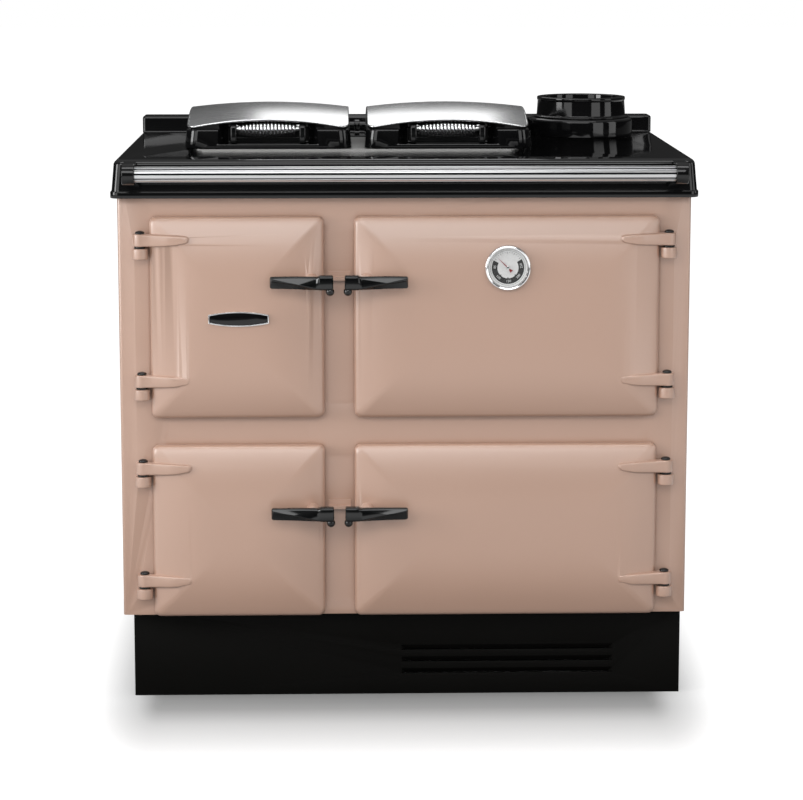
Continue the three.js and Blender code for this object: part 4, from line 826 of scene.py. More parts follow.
for door in doors:
    makeHandle(door)
print("door handles modelled")


# top plate
topSettings = {"slab": 14 * mm, "flare": 3.5 * mm, "lip": 11.4 * mm, "lipStep": 2 * mm, "edge": 9 * mm,
               "corner": 14 * mm, "flueHole": 70 * mm, "hollowSide": 463.7 * mm, "hollowFront": 19.5 * mm,
               "hollowRear": 5.5 * mm, "ledge": 8 * mm, "seatGap": 0.3 * mm}


def topPlateRings():
    s = topSettings
    low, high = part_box("top_plate")
    out = s["flare"] + s["lipStep"]
    half = high.x - out
    front, rear = low.y + out, high.y

    def ring(outward, place, rearInset=0.0):
        return (-half - outward, half + outward, front - outward, rear - rearInset, place)

    rings = [ring(out - 1 * mm, low.z), ring(out - 0.3 * mm, low.z + 0.3 * mm), ring(out, low.z + 1 * mm),
             ring(out, low.z + s["lip"] - 2.2 * mm)]
    for angle in quarter(3):
        place = low.z + s["lip"] - 2.2 * mm + 2 * mm * sin(angle)
        rings.append(ring(out - s["lipStep"] * (1 - cos(angle)), place))
    rings += [ring(s["flare"], low.z + s["lip"]), ring(s["flare"] * 0.45, low.z + s["lip"] + 22 * mm),
              ring(0, high.z - s["edge"])]
    for angle in quarter(8):
        inward = s["edge"] * (1 - cos(angle))
        rings.append(ring(-inward, high.z - s["edge"] * (1 - sin(angle)), inward / 2))
    return rings


def makeTopPlate():
    s = topSettings
    low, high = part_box("top_plate")
    plate = growBody("topPlate", topPlateRings(), "z", s["corner"], 8)
    hollow = addBlock("hollow", (-s["hollowSide"], low.y + s["hollowFront"], low.z - 1 * mm),
                      (s["hollowSide"], high.y - s["hollowRear"], high.z - s["slab"]))
    hotLow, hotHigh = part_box("hotplate")
    gap = s["seatGap"]
    seat = growBody("seat", [(hotLow.x - gap, hotHigh.x + gap, hotLow.y - gap, hotHigh.y + gap, place)
                             for place in (high.z - 7.3 * mm, high.z + 1 * mm)], "z", 20 * mm, 8)
    ledge = s["ledge"]
    well = growBody("well", [(hotLow.x + ledge, hotHigh.x - ledge, hotLow.y + ledge, hotHigh.y - ledge, place)
                             for place in (high.z - s["slab"] - 1 * mm, high.z)], "z", 16 * mm, 8)
    flueX, flueY, _ = middleOf("flue_box")
    hole = turnRod("flueHole", s["flueHole"], high.z - 20 * mm, high.z + 2 * mm, (flueX, flueY, 0), "z", 64)
    combine(plate, "DIFFERENCE", hollow, seat, well, hole)
    trim(plate, 0.7 * mm, 2, 50, 32)
    finishPiece(plate, "range", "black_enamel", "top_plate")


makeTopPlate()


# rear upstand, with a cove at its foot and a bite for the flue box
upstandSettings = {"edge": 4 * mm, "cove": 2.6 * mm, "corner": 5 * mm, "flueRoom": 3 * mm}


def makeUpstand():
    s = upstandSettings
    low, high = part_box("rear_upstand")
    outline = (low.x, high.x, low.y, high.y)
    cove = s["cove"]
    rings = [(low.x, high.x, low.y - cove, high.y, low.z)]
    for angle in quarter(3):
        rings.append((low.x, high.x, low.y - cove * (1 - sin(angle)), high.y,
                      low.z + cove * (1 - cos(angle))))
    rings += roundedEdge(outline, s["edge"], high.z, 5)
    upstand = growBody("rearUpstand", rings, "z", s["corner"], 6)
    flueLow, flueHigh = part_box("flue_box")
    centre = (*middleOf("flue_box")[:2], 0)
    radius = (flueHigh.x - flueLow.x) / 2 + s["flueRoom"]
    bite = turnRod("bite", radius, low.z - 5 * mm, high.z + 5 * mm, centre, "z", 96)
    combine(upstand, "DIFFERENCE", bite)
    trim(upstand, 1.2 * mm, 3, 50, 35)
    finishPiece(upstand, "range", "black_enamel", "rear_upstand")


makeUpstand()


# flue box and collar
flueSettings = {"bore": 64 * mm, "foot": 70 * mm, "edge": 6 * mm, "rimIn": 5.5 * mm, "waistIn": 1.2 * mm}


def makeFlue():
    s = flueSettings
    low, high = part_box("flue_box")
    centre = (*middleOf("flue_box")[:2], 0)
    radius, edge, bore = (high.x - low.x) / 2, s["edge"], s["bore"]
    profile = [(s["foot"], low.z), (radius - 1 * mm, low.z), (radius, low.z + 1 * mm)]
    profile += arc(edge, radius - edge, high.z - edge, 0, 90, 7)
    profile += arc(1 * mm, bore + 1 * mm, high.z - 1 * mm, 90, 180, 3)
    profile += [(bore, high.z - 6 * mm), (s["foot"], high.z - 12 * mm)]
    box = turnBody("flueBox", profile, centre, "z", 96)
    smoothShade(box, 30)
    finishPiece(box, "range", "black_enamel", "flue_box")
    low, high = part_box("flue_collar")
    flange = (high.x - low.x) / 2
    rim = flange - s["rimIn"]
    waist = rim - s["waistIn"]
    profile = [(bore, low.z), (flange - 0.6 * mm, low.z)]
    profile += arc(1.2 * mm, flange - 1.2 * mm, low.z + 1.8 * mm, 0, 90, 4)
    profile += arc(2.4 * mm, rim + 2.8 * mm, low.z + 5.4 * mm, -90, -180, 4)
    profile += [(waist + 0.1 * mm, high.z - 9 * mm), (waist, high.z - 7 * mm),
                (rim - 0.4 * mm, high.z - 5.6 * mm), (rim, high.z - 4.6 * mm)]
    profile += arc(1.8 * mm, rim - 1.8 * mm, high.z - 1.8 * mm, 0, 90, 5)
    profile += arc(1.5 * mm, bore + 1.5 * mm, high.z - 1.5 * mm, 90, 180, 4)
    collar = turnBody("flueCollar", profile, centre, "z", 96)
    smoothShade(collar, 30)
    finishPiece(collar, "range", "black_enamel", "flue_collar")


makeFlue()
print("top plate, upstand and flue modelled")


# handrail and its brackets
railSettings = {"flutes": 9, "fluteDepth": 1.5 * mm, "phase": 5, "pointsPerFlute": 16, "grooveHalf": 2.1,
                "boreGap": 0.3 * mm, "boreDepth": 8 * mm, "edge": 1.4 * mm, "lean": 2 * mm}


def makeRail():
    s = railSettings
    low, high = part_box("handrail")
    middle = Vector((0, *middleOf("handrail")[1:]))
    radius = (high.z - low.z) / 2
    sides = s["flutes"] * s["pointsPerFlute"]
    bpy.ops.mesh.primitive_cylinder_add(vertices=sides, radius=radius, depth=high.x - low.x, location=middle,
                                        rotation=(0, pi / 2, 0))
    rail = settle(bpy.context.active_object, "handrail")
    reach = cos(radians(360 / sides * s["grooveHalf"]))
    with editing(rail, "VERT"):      # sink a narrow groove between each two lands
        for k in range(s["flutes"]):
            angle = radians(s["phase"] + k * 360 / s["flutes"])
            direction = Vector((0, -cos(angle), sin(angle)))
            pick("VERT", lambda v: (Vector((0, v.co.y, v.co.z)) - middle).normalized().dot(direction) > reach)
            bpy.ops.transform.translate(value=-direction * s["fluteDepth"])
    trim(rail, 0.25 * mm, 2, 25, 30)
    finishPiece(rail, "range", "satin_aluminium", "handrail")


def makeRailBracket(side):
    node = "handrail_bracket_left" if side < 0 else "handrail_bracket_right"
    low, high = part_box(node)
    railLow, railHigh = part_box("handrail")
    _, axisY, axisZ = middleOf("handrail")
    nose, half = axisY - low.y, (high.z - low.z) / 2
    points = [(low.x, high.y, low.z), (low.x, high.y, high.z)]
    for k in range(13):
        angle = pi / 2 + k * pi / 12
        points.append((low.x, axisY + nose * cos(angle), axisZ + half * sin(angle)))
    bracket = fillOutline(f"railBracket{'Left' if side < 0 else 'Right'}", points, (high.x - low.x, 0, 0))
    with editing(bracket, "VERT"):   # the back leans with the skirt
        pick("VERT", lambda v: v.co.y > high.y - 0.1 * mm and v.co.z < axisZ)
        bpy.ops.transform.translate(value=(0, -railSettings["lean"], 0))
    softenEdges(bracket, railSettings["edge"], 4, 40)
    inner = high.x if side < 0 else low.x
    radius = (railHigh.z - railLow.z) / 2 + railSettings["boreGap"]
    bottom, mouth = inner + side * railSettings["boreDepth"], inner - side * 2 * mm
    bore = turnRod("bore", radius, bottom, mouth, (0, axisY, axisZ), "x", 48)
    combine(bracket, "DIFFERENCE", bore)
    smoothShade(closeUp(bracket), 35)
    finishPiece(bracket, "range", "black_enamel", node)


makeRail()
for side in (-1, 1):
    makeRailBracket(side)
print("handrail modelled")


# lids
lidSettings = {"corner": 24 * mm, "draft": 3 * mm, "rim": 32 * mm, "inset": 6 * mm, "coverCorner": 16 * mm,
               "thickness": 2.4 * mm, "rise": 36 * mm, "crownX": 14 * mm, "crownY": 24 * mm,
               "crownLoss": 6 * mm, "scoopWidth": 172 * mm, "scoopDepth": 34 * mm, "scoopFloor": 7 * mm,
               "recess": 4 * mm, "recessRim": 16 * mm, "seatGap": 0.3 * mm, "hem": 2.2 * mm,
               "hemDrop": 2.1 * mm, "core": 16 * mm,
               "rimEdge": 2.4 * mm, "pivotBack": 9 * mm, "lugAside": 90 * mm, "lugRadius": 9 * mm,
               "lugBore": 5.3 * mm}


def lidPlace(name):
    frameLow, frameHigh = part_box(f"lid_frame_{name}")
    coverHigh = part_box(f"lid_cover_{name}")[1]
    outline = (frameLow.x, frameHigh.x, frameLow.y, coverHigh.y + lidSettings["inset"])
    return {"name": name, "title": toPlainName(name), "foot": frameLow.z, "outline": outline}


def crownHeight(lid, x, y):
    s = lidSettings
    x0, x1, y0, y1 = lid["outline"]
    u = (x - (x0 + x1) / 2) / ((x1 - x0) / 2 - s["inset"])
    v = (y - (y0 + y1) / 2) / ((y1 - y0) / 2 - s["inset"])
    across, back = 1 - u * u, 1 - v * v
    return (lid["foot"] + s["rise"] + s["crownX"] * across + s["crownY"] * back
            - s["crownLoss"] * across * back)


def crownedSheet(name, lid, drop):   # a rounded sheet over the lid that follows the crown
    s = lidSettings
    outline = lid["outline"]
    x0, x1, y0, y1 = outline
    inset = s["inset"]
    base = lid["foot"] + s["rise"]
    full = insetRing(outline, inset, base)
    rings = [full]
    for share in (0.985, 0.95, 0.88, 0.78, 0.66, 0.52, 0.38, 0.24, 0.1):
        halfX, halfY = (full[1] - full[0]) / 2 * share, (full[3] - full[2]) / 2 * share
        rings.append(((x0 + x1) / 2 - halfX, (x0 + x1) / 2 + halfX, (y0 + y1) / 2 - halfY,
                      (y0 + y1) / 2 + halfY, base))
    sheet = growBody(name, rings, "z", s["coverCorner"], 8, cuts=11)
    x, y = (x0 + x1) / 2, (y0 + y1) / 2
    with editing(sheet, "FACE"):     # the first face, left under the rings, goes; the last is fanned
        pick("FACE", lambda face: len(face.verts) > 8)
        bpy.ops.mesh.delete(type="ONLY_FACE")
        bpy.ops.mesh.select_mode(type="EDGE")
        halfX, halfY = (full[1] - full[0]) * 0.06, (full[3] - full[2]) * 0.06
        pick("EDGE", lambda edge: all(abs(v.co.x - x) < halfX and abs(v.co.y - y) < halfY
                                      for v in edge.verts))
        bpy.ops.mesh.edge_face_add()
        bpy.ops.mesh.poke()
    for vert in sheet.data.vertices:
        vert.co.z = crownHeight(lid, vert.co.x, vert.co.y) - drop
    with editing(sheet):
        selectAll()
        bpy.ops.mesh.normals_make_consistent(inside=False)
    return sheet


def makeLidCover(lid):
    s = lidSettings
    cover = crownedSheet(f"lidCover{lid['title']}", lid, 0)
    if cover.data.polygons[0].normal.z < 0:
        cover.data.flip_normals()
    applyModifier(cover, "SOLIDIFY", thickness=s["thickness"], offset=-1)
    softenEdges(cover, 0.9 * mm, 4, 50)
    outline = insetRing(lid["outline"], s["inset"] + 0.4 * mm, 0)[:4]
    line = [Vector((u, v, 0)) for u, v in roundedPath(outline, s["coverCorner"], 8)]
    points = []
    for before, after in zip(line, line[1:] + line[:1]):
        cuts = max(1, round((after - before).length / (14 * mm)))
        points += [before.lerp(after, k / cuts) for k in range(cuts)]
    hem = addTube("hem", [(q.x, q.y, crownHeight(lid, q.x, q.y) - s["hemDrop"]) for q in points],
                  s["hem"], 4, True)
    cover = gather(cover.name, [cover, hem])
    smoothShade(cover, 40)
    finishPiece(cover, f"lid_{lid['name']}", "brushed_steel",
                       f"lid_cover_{lid['name']}")


def makeLidFrame(lid):
    s = lidSettings
    foot, outline = lid["foot"], lid["outline"]
    rim = foot + s["rim"]
    edge = s["rimEdge"]
    rings = [insetRing(outline, 2 * mm, foot), insetRing(outline, 0.5 * mm, foot + 0.6 * mm),
             insetRing(outline, 0, foot + 2 * mm), insetRing(outline, s["draft"], rim - edge)]
    for angle in quarter(4):
        rings.append(insetRing(outline, s["draft"] + edge * (1 - cos(angle)), rim - edge * (1 - sin(angle))))
    body = growBody(f"lidFrame{lid['title']}", rings, "z", s["corner"], 10)
    core = crownedSheet("core", lid, s["thickness"] + s["seatGap"])
    if core.data.polygons[0].normal.z < 0:
        core.data.flip_normals()
    applyModifier(core, "SOLIDIFY", thickness=s["core"], offset=-1)
    combine(body, "UNION", core)
    x = (outline[0] + outline[1]) / 2
    half, front, back = s["scoopWidth"] / 2, outline[2], outline[2] + s["scoopDepth"]
    flare = s["scoopDepth"] / 3
    steps = [(0, front - 4 * mm), (0.7, front + s["scoopDepth"] * 0.5), (1, back - flare / 2), (1.5, back)]
    plan = [(x + way * half - way * flare * share, y) for way in (1, -1) for share, y in steps[::way]]
    floor = foot + s["scoopFloor"]
    scoop = fillOutline("scoop", [(px, py, floor) for px, py in plan], (0, 0, 90 * mm))
    softenEdges(scoop, 3 * mm, 4, 25)
    recess = growBody("recess", [insetRing(outline, s["recessRim"], foot - 1 * mm),
                                 insetRing(outline, s["recessRim"], foot + s["recess"])], "z", 12 * mm, 6)
    combine(body, "DIFFERENCE", scoop, recess)
    softenEdges(body, 1 * mm, 3, 38)
    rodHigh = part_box("lid_hinge_rod")[1]
    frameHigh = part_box(f"lid_frame_{lid['name']}")[1]
    axisY, axisZ = frameHigh.y - s["pivotBack"], rodHigh.z - s["lugRadius"]
    lugs = []
    for offset in (-s["lugAside"], s["lugAside"]):
        profile = [(s["lugBore"], -8 * mm)] + arc(1 * mm, 8 * mm, -7 * mm, -90, 0, 3)
        profile += arc(1 * mm, 8 * mm, 7 * mm, 0, 90, 3) + [(s["lugBore"], 8 * mm)]
        lug = turnBody("lug", profile, (x + offset, axisY, axisZ), "x", 40)
        web = addBlock("web", (x + offset - 7.5 * mm, outline[3] - 8 * mm, axisZ - 5 * mm),
                       (x + offset + 7.5 * mm, axisY - 5.2 * mm, axisZ + 5 * mm))
        softenEdges(web, 1 * mm, 2)
        lugs += [lug, web]
    gather(f"lidFrame{lid['title']}", [closeUp(body)] + lugs)
    smoothShade(body, 35)
    finishPiece(body, f"lid_{lid['name']}", "black_enamel",
                       f"lid_frame_{lid['name']}")


# coil handle: wound wire, two posts, the rod through the coil and its ferrules
coilSettings = {"turns": 16, "wire": 2.2 * mm, "middle": 10.8 * mm, "end": 5.4 * mm, "stepsPerTurn": 24,
                "postWidth": 10 * mm, "postRadius": 8 * mm, "strap": 3 * mm, "strapHeight": 9 * mm,
                "rod": 2 * mm}


def makeCoil(lid):
    s = coilSettings
    low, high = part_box(f"lid_handle_coil_{lid['name']}")
    x = (low.x + high.x) / 2
    bracketLow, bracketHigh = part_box(f"lid_handle_bracket_{lid['name']}")
    y = bracketLow.y + s["postRadius"]
    z = bracketHigh.z - s["postRadius"]
    straight = 2 * s["wire"]
    wound = (high.x - low.x) / 2 - straight
    steps = s["turns"] * s["stepsPerTurn"]
    points = []
    for i in range(steps + 1):
        t = i / steps
        angle = i * 2 * pi / s["stepsPerTurn"] + pi / 2
        radius = s["end"] + (s["middle"] - s["end"]) * sin(pi * t) ** 0.7
        points.append((x - wound + 2 * wound * t, y + radius * cos(angle), z + radius * sin(angle)))
    points = [(points[0][0] - straight, points[0][1], points[0][2])] + points
    points.append((points[-1][0] + straight, points[-1][1], points[-1][2]))
    coil = addTube(f"lidCoil{lid['title']}", points, s["wire"], 3)
    smoothShade(coil, 60)
    finishPiece(coil, f"lid_{lid['name']}", "bright_steel",
                f"lid_handle_coil_{lid['name']}")
    half = (high.x - low.x) / 2
    sleeves = []
    for side in (-1, 1):
        start, end = x + side * half, x + side * (half - 9 * mm)
        profile = [(2.3 * mm, start), (4.4 * mm, start), (4.7 * mm, start - side * 0.8 * mm),
                   (4.7 * mm, start - side * 4 * mm), (3.2 * mm, end), (2.3 * mm, end)]
        sleeves.append(turnBody("sleeve", profile, (0, y, z), "x", 32))
    ferrules = gather(f"lidFerrules{lid['title']}", sleeves)
    smoothShade(ferrules, 35)
    finishPiece(ferrules, f"lid_{lid['name']}", "bright_steel")
    parts = []
    strapTop = bracketLow.z + s["strapHeight"]
    for side in (-1, 1):
        inner = x + side * (half + 0.3 * mm)
        outer = inner + side * s["postWidth"]
        outline = (y - s["postRadius"], y + s["postRadius"], bracketLow.z, bracketHigh.z)
        steps = ((1.6 * mm, 0), (0.5 * mm, 0.5 * mm), (0, 1.6 * mm))     # inset, way in
        rings = [insetRing(outline, inset, inner + side * way) for inset, way in steps]
        rings += [insetRing(outline, inset, outer - side * way) for inset, way in steps[::-1]]
        parts.append(growBody("post", rings, "x", 5.6 * mm, 6))
        x0, x1 = min(inner, outer), max(inner, outer)
        parts.append(addBlock("foot", (x0 + 0.5 * mm, y, bracketLow.z),
                              (x1 - 0.5 * mm, bracketHigh.y, strapTop)))
    strap = addBlock(f"lidBracket{lid['title']}",
                     (bracketLow.x + 0.5 * mm, bracketHigh.y - s["strap"], bracketLow.z),
                     (bracketHigh.x - 0.5 * mm, bracketHigh.y, strapTop))
    rod = turnRod("rod", s["rod"], x - half - 1 * mm, x + half + 1 * mm, (0, y, z), "x", 16)
    combine(strap, "UNION", *parts, rod)
    trim(strap, 0.8 * mm, 2, 40, 40)
    finishPiece(strap, f"lid_{lid['name']}", "black_glaze",
                f"lid_handle_bracket_{lid['name']}")


lids = [lidPlace(name) for name in lidNames]
for lid in lids:
    makeLidCover(lid)
    makeLidFrame(lid)
    makeCoil(lid)


rodSettings = {"drop": 9 * mm, "edge": 1 * mm, "shaft": 4 * mm, "head": 8 * mm, "half": 4.5 * mm,
               "legHalves": (18 * mm, 18 * mm, 10 * mm, 7.5 * mm), "legSteps": (0, 3 * mm, 5.5 * mm)}


def roundRod(name, radius, edge, start, end, centre, steps):     # a rod along x with rounded ends
    profile = [(0, start)] + arc(edge, radius, start + edge, -90, 0, 3)
    profile += arc(edge, radius, end - edge, 0, 90, 3) + [(0, end)]
    return turnBody(name, profile, centre, "x", steps)


def makeHingeRod():          # one rod for both lids on three stands
    s = rodSettings
    low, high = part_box("lid_hinge_rod")
    axisY, axisZ = (low.y + high.y) / 2, high.z - s["drop"]
    edge, half = s["edge"], s["half"]
    parts = [roundRod("rod", s["shaft"], edge, low.x + edge, high.x - edge, (0, axisY, axisZ), 32)]
    middle = (lids[0]["outline"][1] + lids[1]["outline"][0]) / 2
    for x in (low.x + half, middle, high.x - half):
        parts.append(roundRod("head", s["head"], edge, -half, half, (x, axisY, axisZ), 40))
        places = [low.z + step for step in s["legSteps"]] + [axisZ]
        rings = [(x - half, x + half, axisY - deep, axisY + deep, place)
                 for deep, place in zip(s["legHalves"], places)]
        parts.append(growBody("leg", rings, "z", 0))
    rod = combine(parts[0], "UNION", *parts[1:])
    rod.name = "lidHingeRod"
    trim(rod, 0.7 * mm, 2, 40, 38)
    finishPiece(rod, "range", "black_enamel", "lid_hinge_rod")


makeHingeRod()


hotplateSettings = {"step": 8.3 * mm, "lip": 8.2 * mm, "edge": 1.2 * mm, "corner": 20 * mm}


def makeHotplate():
    s = hotplateSettings
    low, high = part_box("hotplate")
    outline = (low.x, high.x, low.y, high.y)
    rings = [insetRing(outline, s["step"], low.z), insetRing(outline, s["step"], high.z - s["lip"]),
             insetRing(outline, 0, high.z - s["lip"]), insetRing(outline, 0, high.z - s["edge"])]
    rings += roundedEdge(outline, s["edge"], high.z, 3, 1)
    plate = smoothShade(growBody("hotplate", rings, "z", s["corner"], 10), 30)
    finishPiece(plate, "range", "machined_iron", "hotplate")


makeHotplate()
print("lids, coil handles and hotplate modelled")


# thermometer: bezel, dial with a plain number scale, needle and glass
gaugeSettings = {"window": 31.2 * mm, "barrel": 33 * mm, "bandOuter": 26 * mm, "bandInner": 17 * mm,
                 "bandStart": 152, "bandEnd": 393, "line": 28.2 * mm,
                 "numbers": ("50", "100", "150", "200", "250"), "numberSize": 5.4 * mm, "paint": 0.06 * mm,
                 "seat": 8.7 * mm, "dial": 6.2 * mm, "barrelLength": 20.3 * mm, "stem": 3.5 * mm,
                 "rollWidth": 2.9 * mm, "rollDepth": 4.6 * mm, "needleAngle": 135}


def gaugeCentre():
    x, _, z = middleOf("thermometer_glass")
    return x, z


def makeBezel():
    s = gaugeSettings
    low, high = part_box("thermometer_case")
    x, z = gaugeCentre()
    radius = (high.x - low.x) / 2
    front = low.y
    seat = front + s["seat"]
    dial = front + s["dial"]
    barrelEnd = seat + s["barrelLength"]
    roll = front + s["rollDepth"]
    profile = [(0, high.y), (s["stem"], high.y - 1 * mm), (s["stem"], barrelEnd), (s["barrel"], barrelEnd),
               (s["barrel"], seat), (radius - 0.5 * mm, seat), (radius, seat - 0.6 * mm), (radius, roll)]
    profile += [(radius - s["rollWidth"] * (1 - cos(radians(a))), roll - s["rollDepth"] * sin(radians(a)))
                for a in (15, 30, 45, 60, 75, 90)]
    profile += [(s["window"] + 1.2 * mm, front + 0.5 * mm), (s["window"] + 0.2 * mm, front + 1.6 * mm),
                (s["window"], front + 2.2 * mm), (s["window"], dial), (0, dial)]
    bezel = turnBody("thermometerCase", profile, (x, 0, z), "y", 96)
    smoothShade(bezel, 28)
    finishPiece(bezel, "door_upper_right", "bright_steel", "thermometer_case")
    return dial


def flatRing(name, outer, inner, start, end, place, thickness, steps):
    x, z = gaugeCentre()
    points = []
    for radius, turn in ((outer, 1), (inner, -1)):
        for k in range(steps + 1)[::turn]:
            angle = radians(start + (end - start) * k / steps)
            points.append((x + radius * cos(angle), place, z + radius * sin(angle)))
    return fillOutline(name, points, (0, -thickness, 0))


def makeDial(dial):
    s = gaugeSettings
    x, z = gaugeCentre()
    face = turnRod("dialFace", s["window"] - 0.2 * mm, dial, dial - 0.4 * mm, (x, 0, z), "y", 72)
    finishPiece(smoothShade(face, 30), "door_upper_right", "dial_white")
    paint = s["paint"]
    place = dial - 0.4 * mm
    outer, inner = s["bandOuter"], s["bandInner"]
    band = [flatRing("dialBand", outer, inner, s["bandStart"], s["bandEnd"], place, paint, 72)]
    for angle in (225, 270, 315):    # teeth that reach in from the band
        band.append(flatRing("tooth", inner + 0.5 * mm, inner - 1.6 * mm, angle - 3, angle + 3,
                             place, paint, 3))
    band.append(flatRing("dialLine", s["line"], s["line"] - 0.35 * mm, 0, 359.9, place, paint, 90))
    finishPiece(gather("dialBand", band), "door_upper_right", "dial_white", finish="dial_black")
    numbers = []
    count = len(s["numbers"])
    for k, label in enumerate(s["numbers"]):
        angle = radians(s["bandStart"] + (s["bandEnd"] - s["bandStart"]) * (k + 0.5) / count)
        middle = (outer + inner) / 2
        numbers.append(makeLabel(label, x + middle * cos(angle), z + middle * sin(angle), place - paint,
                                 angle + pi / 2, s["numberSize"]))
    finishPiece(gather("dialNumbers", numbers), "door_upper_right", "dial_white")
    ticks = []
    for k in range(13):
        angle = 40 + k * (145 - 40) / 12
        length = 3.2 * mm if k % 3 == 0 else 1.8 * mm
        ticks.append(flatRing("tick", outer, outer - length, angle - 0.7, angle + 0.7, place, paint, 1))
    finishPiece(gather("dialTicks", ticks), "door_upper_right", "dial_white", finish="dial_black")


def makeLabel(text, x, z, y, turn, size):
    curve = bpy.data.curves.new("label", "FONT")
    curve.body = text
    curve.size = size
    curve.align_x = "CENTER"
    curve.align_y = "CENTER"
    curve.extrude = 0.03 * mm
    curve.resolution_u = 3
    label = bpy.data.objects.new("label", curve)
    bpy.context.collection.objects.link(label)
    label.rotation_euler = (pi / 2, 0, 0)
    makeActive(label)
    bpy.ops.object.convert(target="MESH")
    label = settle(bpy.context.active_object, "label")
    makeActive(label)
    label.rotation_euler = (0, -turn, 0)
    label.location = (x, y, z)
    return closeUp(settle(label, "label"))


def makeNeedle(dial):
    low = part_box("thermometer_needle")[0]
    x, z = gaugeCentre()
    y = low.y + 0.6 * mm
    angle = radians(gaugeSettings["needleAngle"])

    def at(along, across):
        return (x + along * cos(angle) - across * sin(angle), y, z + along * sin(angle) + across * cos(angle))

    half = [(14, 0.45), (2, 0.9), (-2, 0.8), (-8.6, 2.6)]            # along the needle and across, mm
    outline = [(23, 0)] + half + [(-8.0, 0)] + [(along, -across) for along, across in half[::-1]]
    points = [at(along * mm, across * mm) for along, across in outline]
    needle = fillOutline("needle", points, (0, 0.7 * mm, 0))
    smoothShade(needle, 20)
    finishPiece(needle, "needle", "needle_red", "thermometer_needle")
    hub = turnBody("needleHub", [(0, dial - 0.5 * mm), (3.2 * mm, dial - 0.5 * mm)]
                   + arc(1 * mm, 2.2 * mm, low.y + 1 * mm, 0, -90, 4) + [(0, low.y)], (x, 0, z), "y", 32)
    finishPiece(smoothShade(hub), "needle", "bright_steel")


def makeGlass():
    low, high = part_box("thermometer_glass")
    x, z = gaugeCentre()
    radius = (high.x - low.x) / 2
    profile = [(0, high.y), (radius, high.y), (radius, low.y + 0.5 * mm)]
    profile += [(radius * share, low.y + 0.5 * mm * share ** 2) for share in (0.8, 0.6, 0.4, 0.2)]
    profile.append((0, low.y))
    glass = turnBody("thermometerGlass", profile, (x, 0, z), "y", 72)
    finishPiece(smoothShade(glass, 30), "door_upper_right", "clear_glass",
                "thermometer_glass")


dialSeat = makeBezel()
makeDial(dialSeat)
makeNeedle(dialSeat)
makeGlass()


# blank badge: a black field in a bright rim, with bowed long sides
badgeSettings = {"middle": (-267.7 * mm, 646 * mm), "width": 97 * mm, "tall": 24 * mm, "endTall": 14 * mm,
                 "thickness": 3 * mm, "rim": 1.7 * mm}


def badgeOutline(shrink, place):
    s = badgeSettings
    x, z = s["middle"]
    points = []
    for side in (1, -1):
        for k in range(25):
            t = side * (1 - k / 12)
            tall = s["endTall"] + (s["tall"] - s["endTall"]) * (1 - t * t) - 2 * shrink
            points.append((x + t * (s["width"] / 2 - shrink), place, z + side * tall / 2))
    return points


def makeBadge():
    s = badgeSettings
    door = doors[0]
    crown = door["rear"] - doorSettings["rim"] - doorSettings["crown"]
    back = crown - 0.3 * mm
    plate = fillOutline("badgeRim", badgeOutline(0, back), (0, -s["thickness"], 0))
    field = fillOutline("field", badgeOutline(s["rim"], back - s["thickness"] + 0.7 * mm), (0, -3 * mm, 0))
    combine(plate, "DIFFERENCE", field)
    trim(plate, 0.4 * mm, 3, 40, 38)
    finishPiece(plate, "door_upper_left", "bright_steel")
    inlay = fillOutline("badgeField", badgeOutline(s["rim"] + 0.05 * mm, back - s["thickness"] + 0.72 * mm),
                        (0, -0.35 * mm, 0))
    trim(inlay, 0.12 * mm, 2, 40, 38)
    finishPiece(inlay, "door_upper_left", "black_enamel")


makeBadge()
print("thermometer and badge modelled")


# rope seals and oven shelves
ropeCorner = 8 * mm
shelfSettings = {"corner": 12 * mm, "spaces": 18, "barShare": 0.62}


def makeRope(door):
    low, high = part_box(f"door_seal_{door['name']}")
    radius = (high.y - low.y) / 2
    y = middleOf(f"door_seal_{door['name']}")[1]
    outline = (low.x + radius, high.x - radius, low.z + radius, high.z - radius)
    points = [(u, y, v) for u, v in roundedPath(outline, ropeCorner, 6)]
    rope = addTube(f"rope{door['title']}", points, radius, 3, closed=True)
    finishPiece(smoothShade(rope, 60), f"door_{door['name']}", "glass_rope",
                f"door_seal_{door['name']}")


for door in doors:
    makeRope(door)


def makeShelf(node, body):
    s = shelfSettings
    low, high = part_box(node)
    r = (high.z - low.z) / 2
    z = (low.z + high.z) / 2
    outline = (low.x + r, high.x - r, low.y + r, high.y - r)
    frameLine = [(u, v, z) for u, v in roundedPath(outline, s["corner"], 5)]
    wires = [addTube("frameWire", frameLine, r, 3, closed=True)]
    for i in range(1, s["spaces"]):
        x = low.x + r + (high.x - low.x - 2 * r) * i / s["spaces"]
        wires.append(addTube("bar", [(x, low.y + r, z), (x, high.y - r, z)], r * s["barShare"], 2))
    shelf = gather(toPlainName(node), wires)
    finishPiece(smoothShade(shelf, 60), body, "bright_steel", node)


makeShelf("main_oven_shelf", "main_shelf")
makeShelf("lower_oven_shelf", "lower_shelf")
print("seals and shelves modelled")


# plinth: folded sheet with an inward flange at its foot and three pressed louvres
plinthSettings = {"wall": 4 * mm, "flange": 32 * mm, "louvreRight": 112.5 * mm, "louvreWidth": 352.5 * mm,
                  "louvreHeight": 8.6 * mm, "pitch": 20.2 * mm, "lowest": 39.4 * mm, "count": 3,
                  "reach": 8 * mm, "blade": 1.6 * mm, "mitre": 7 * mm, "lap": 0.6 * mm}


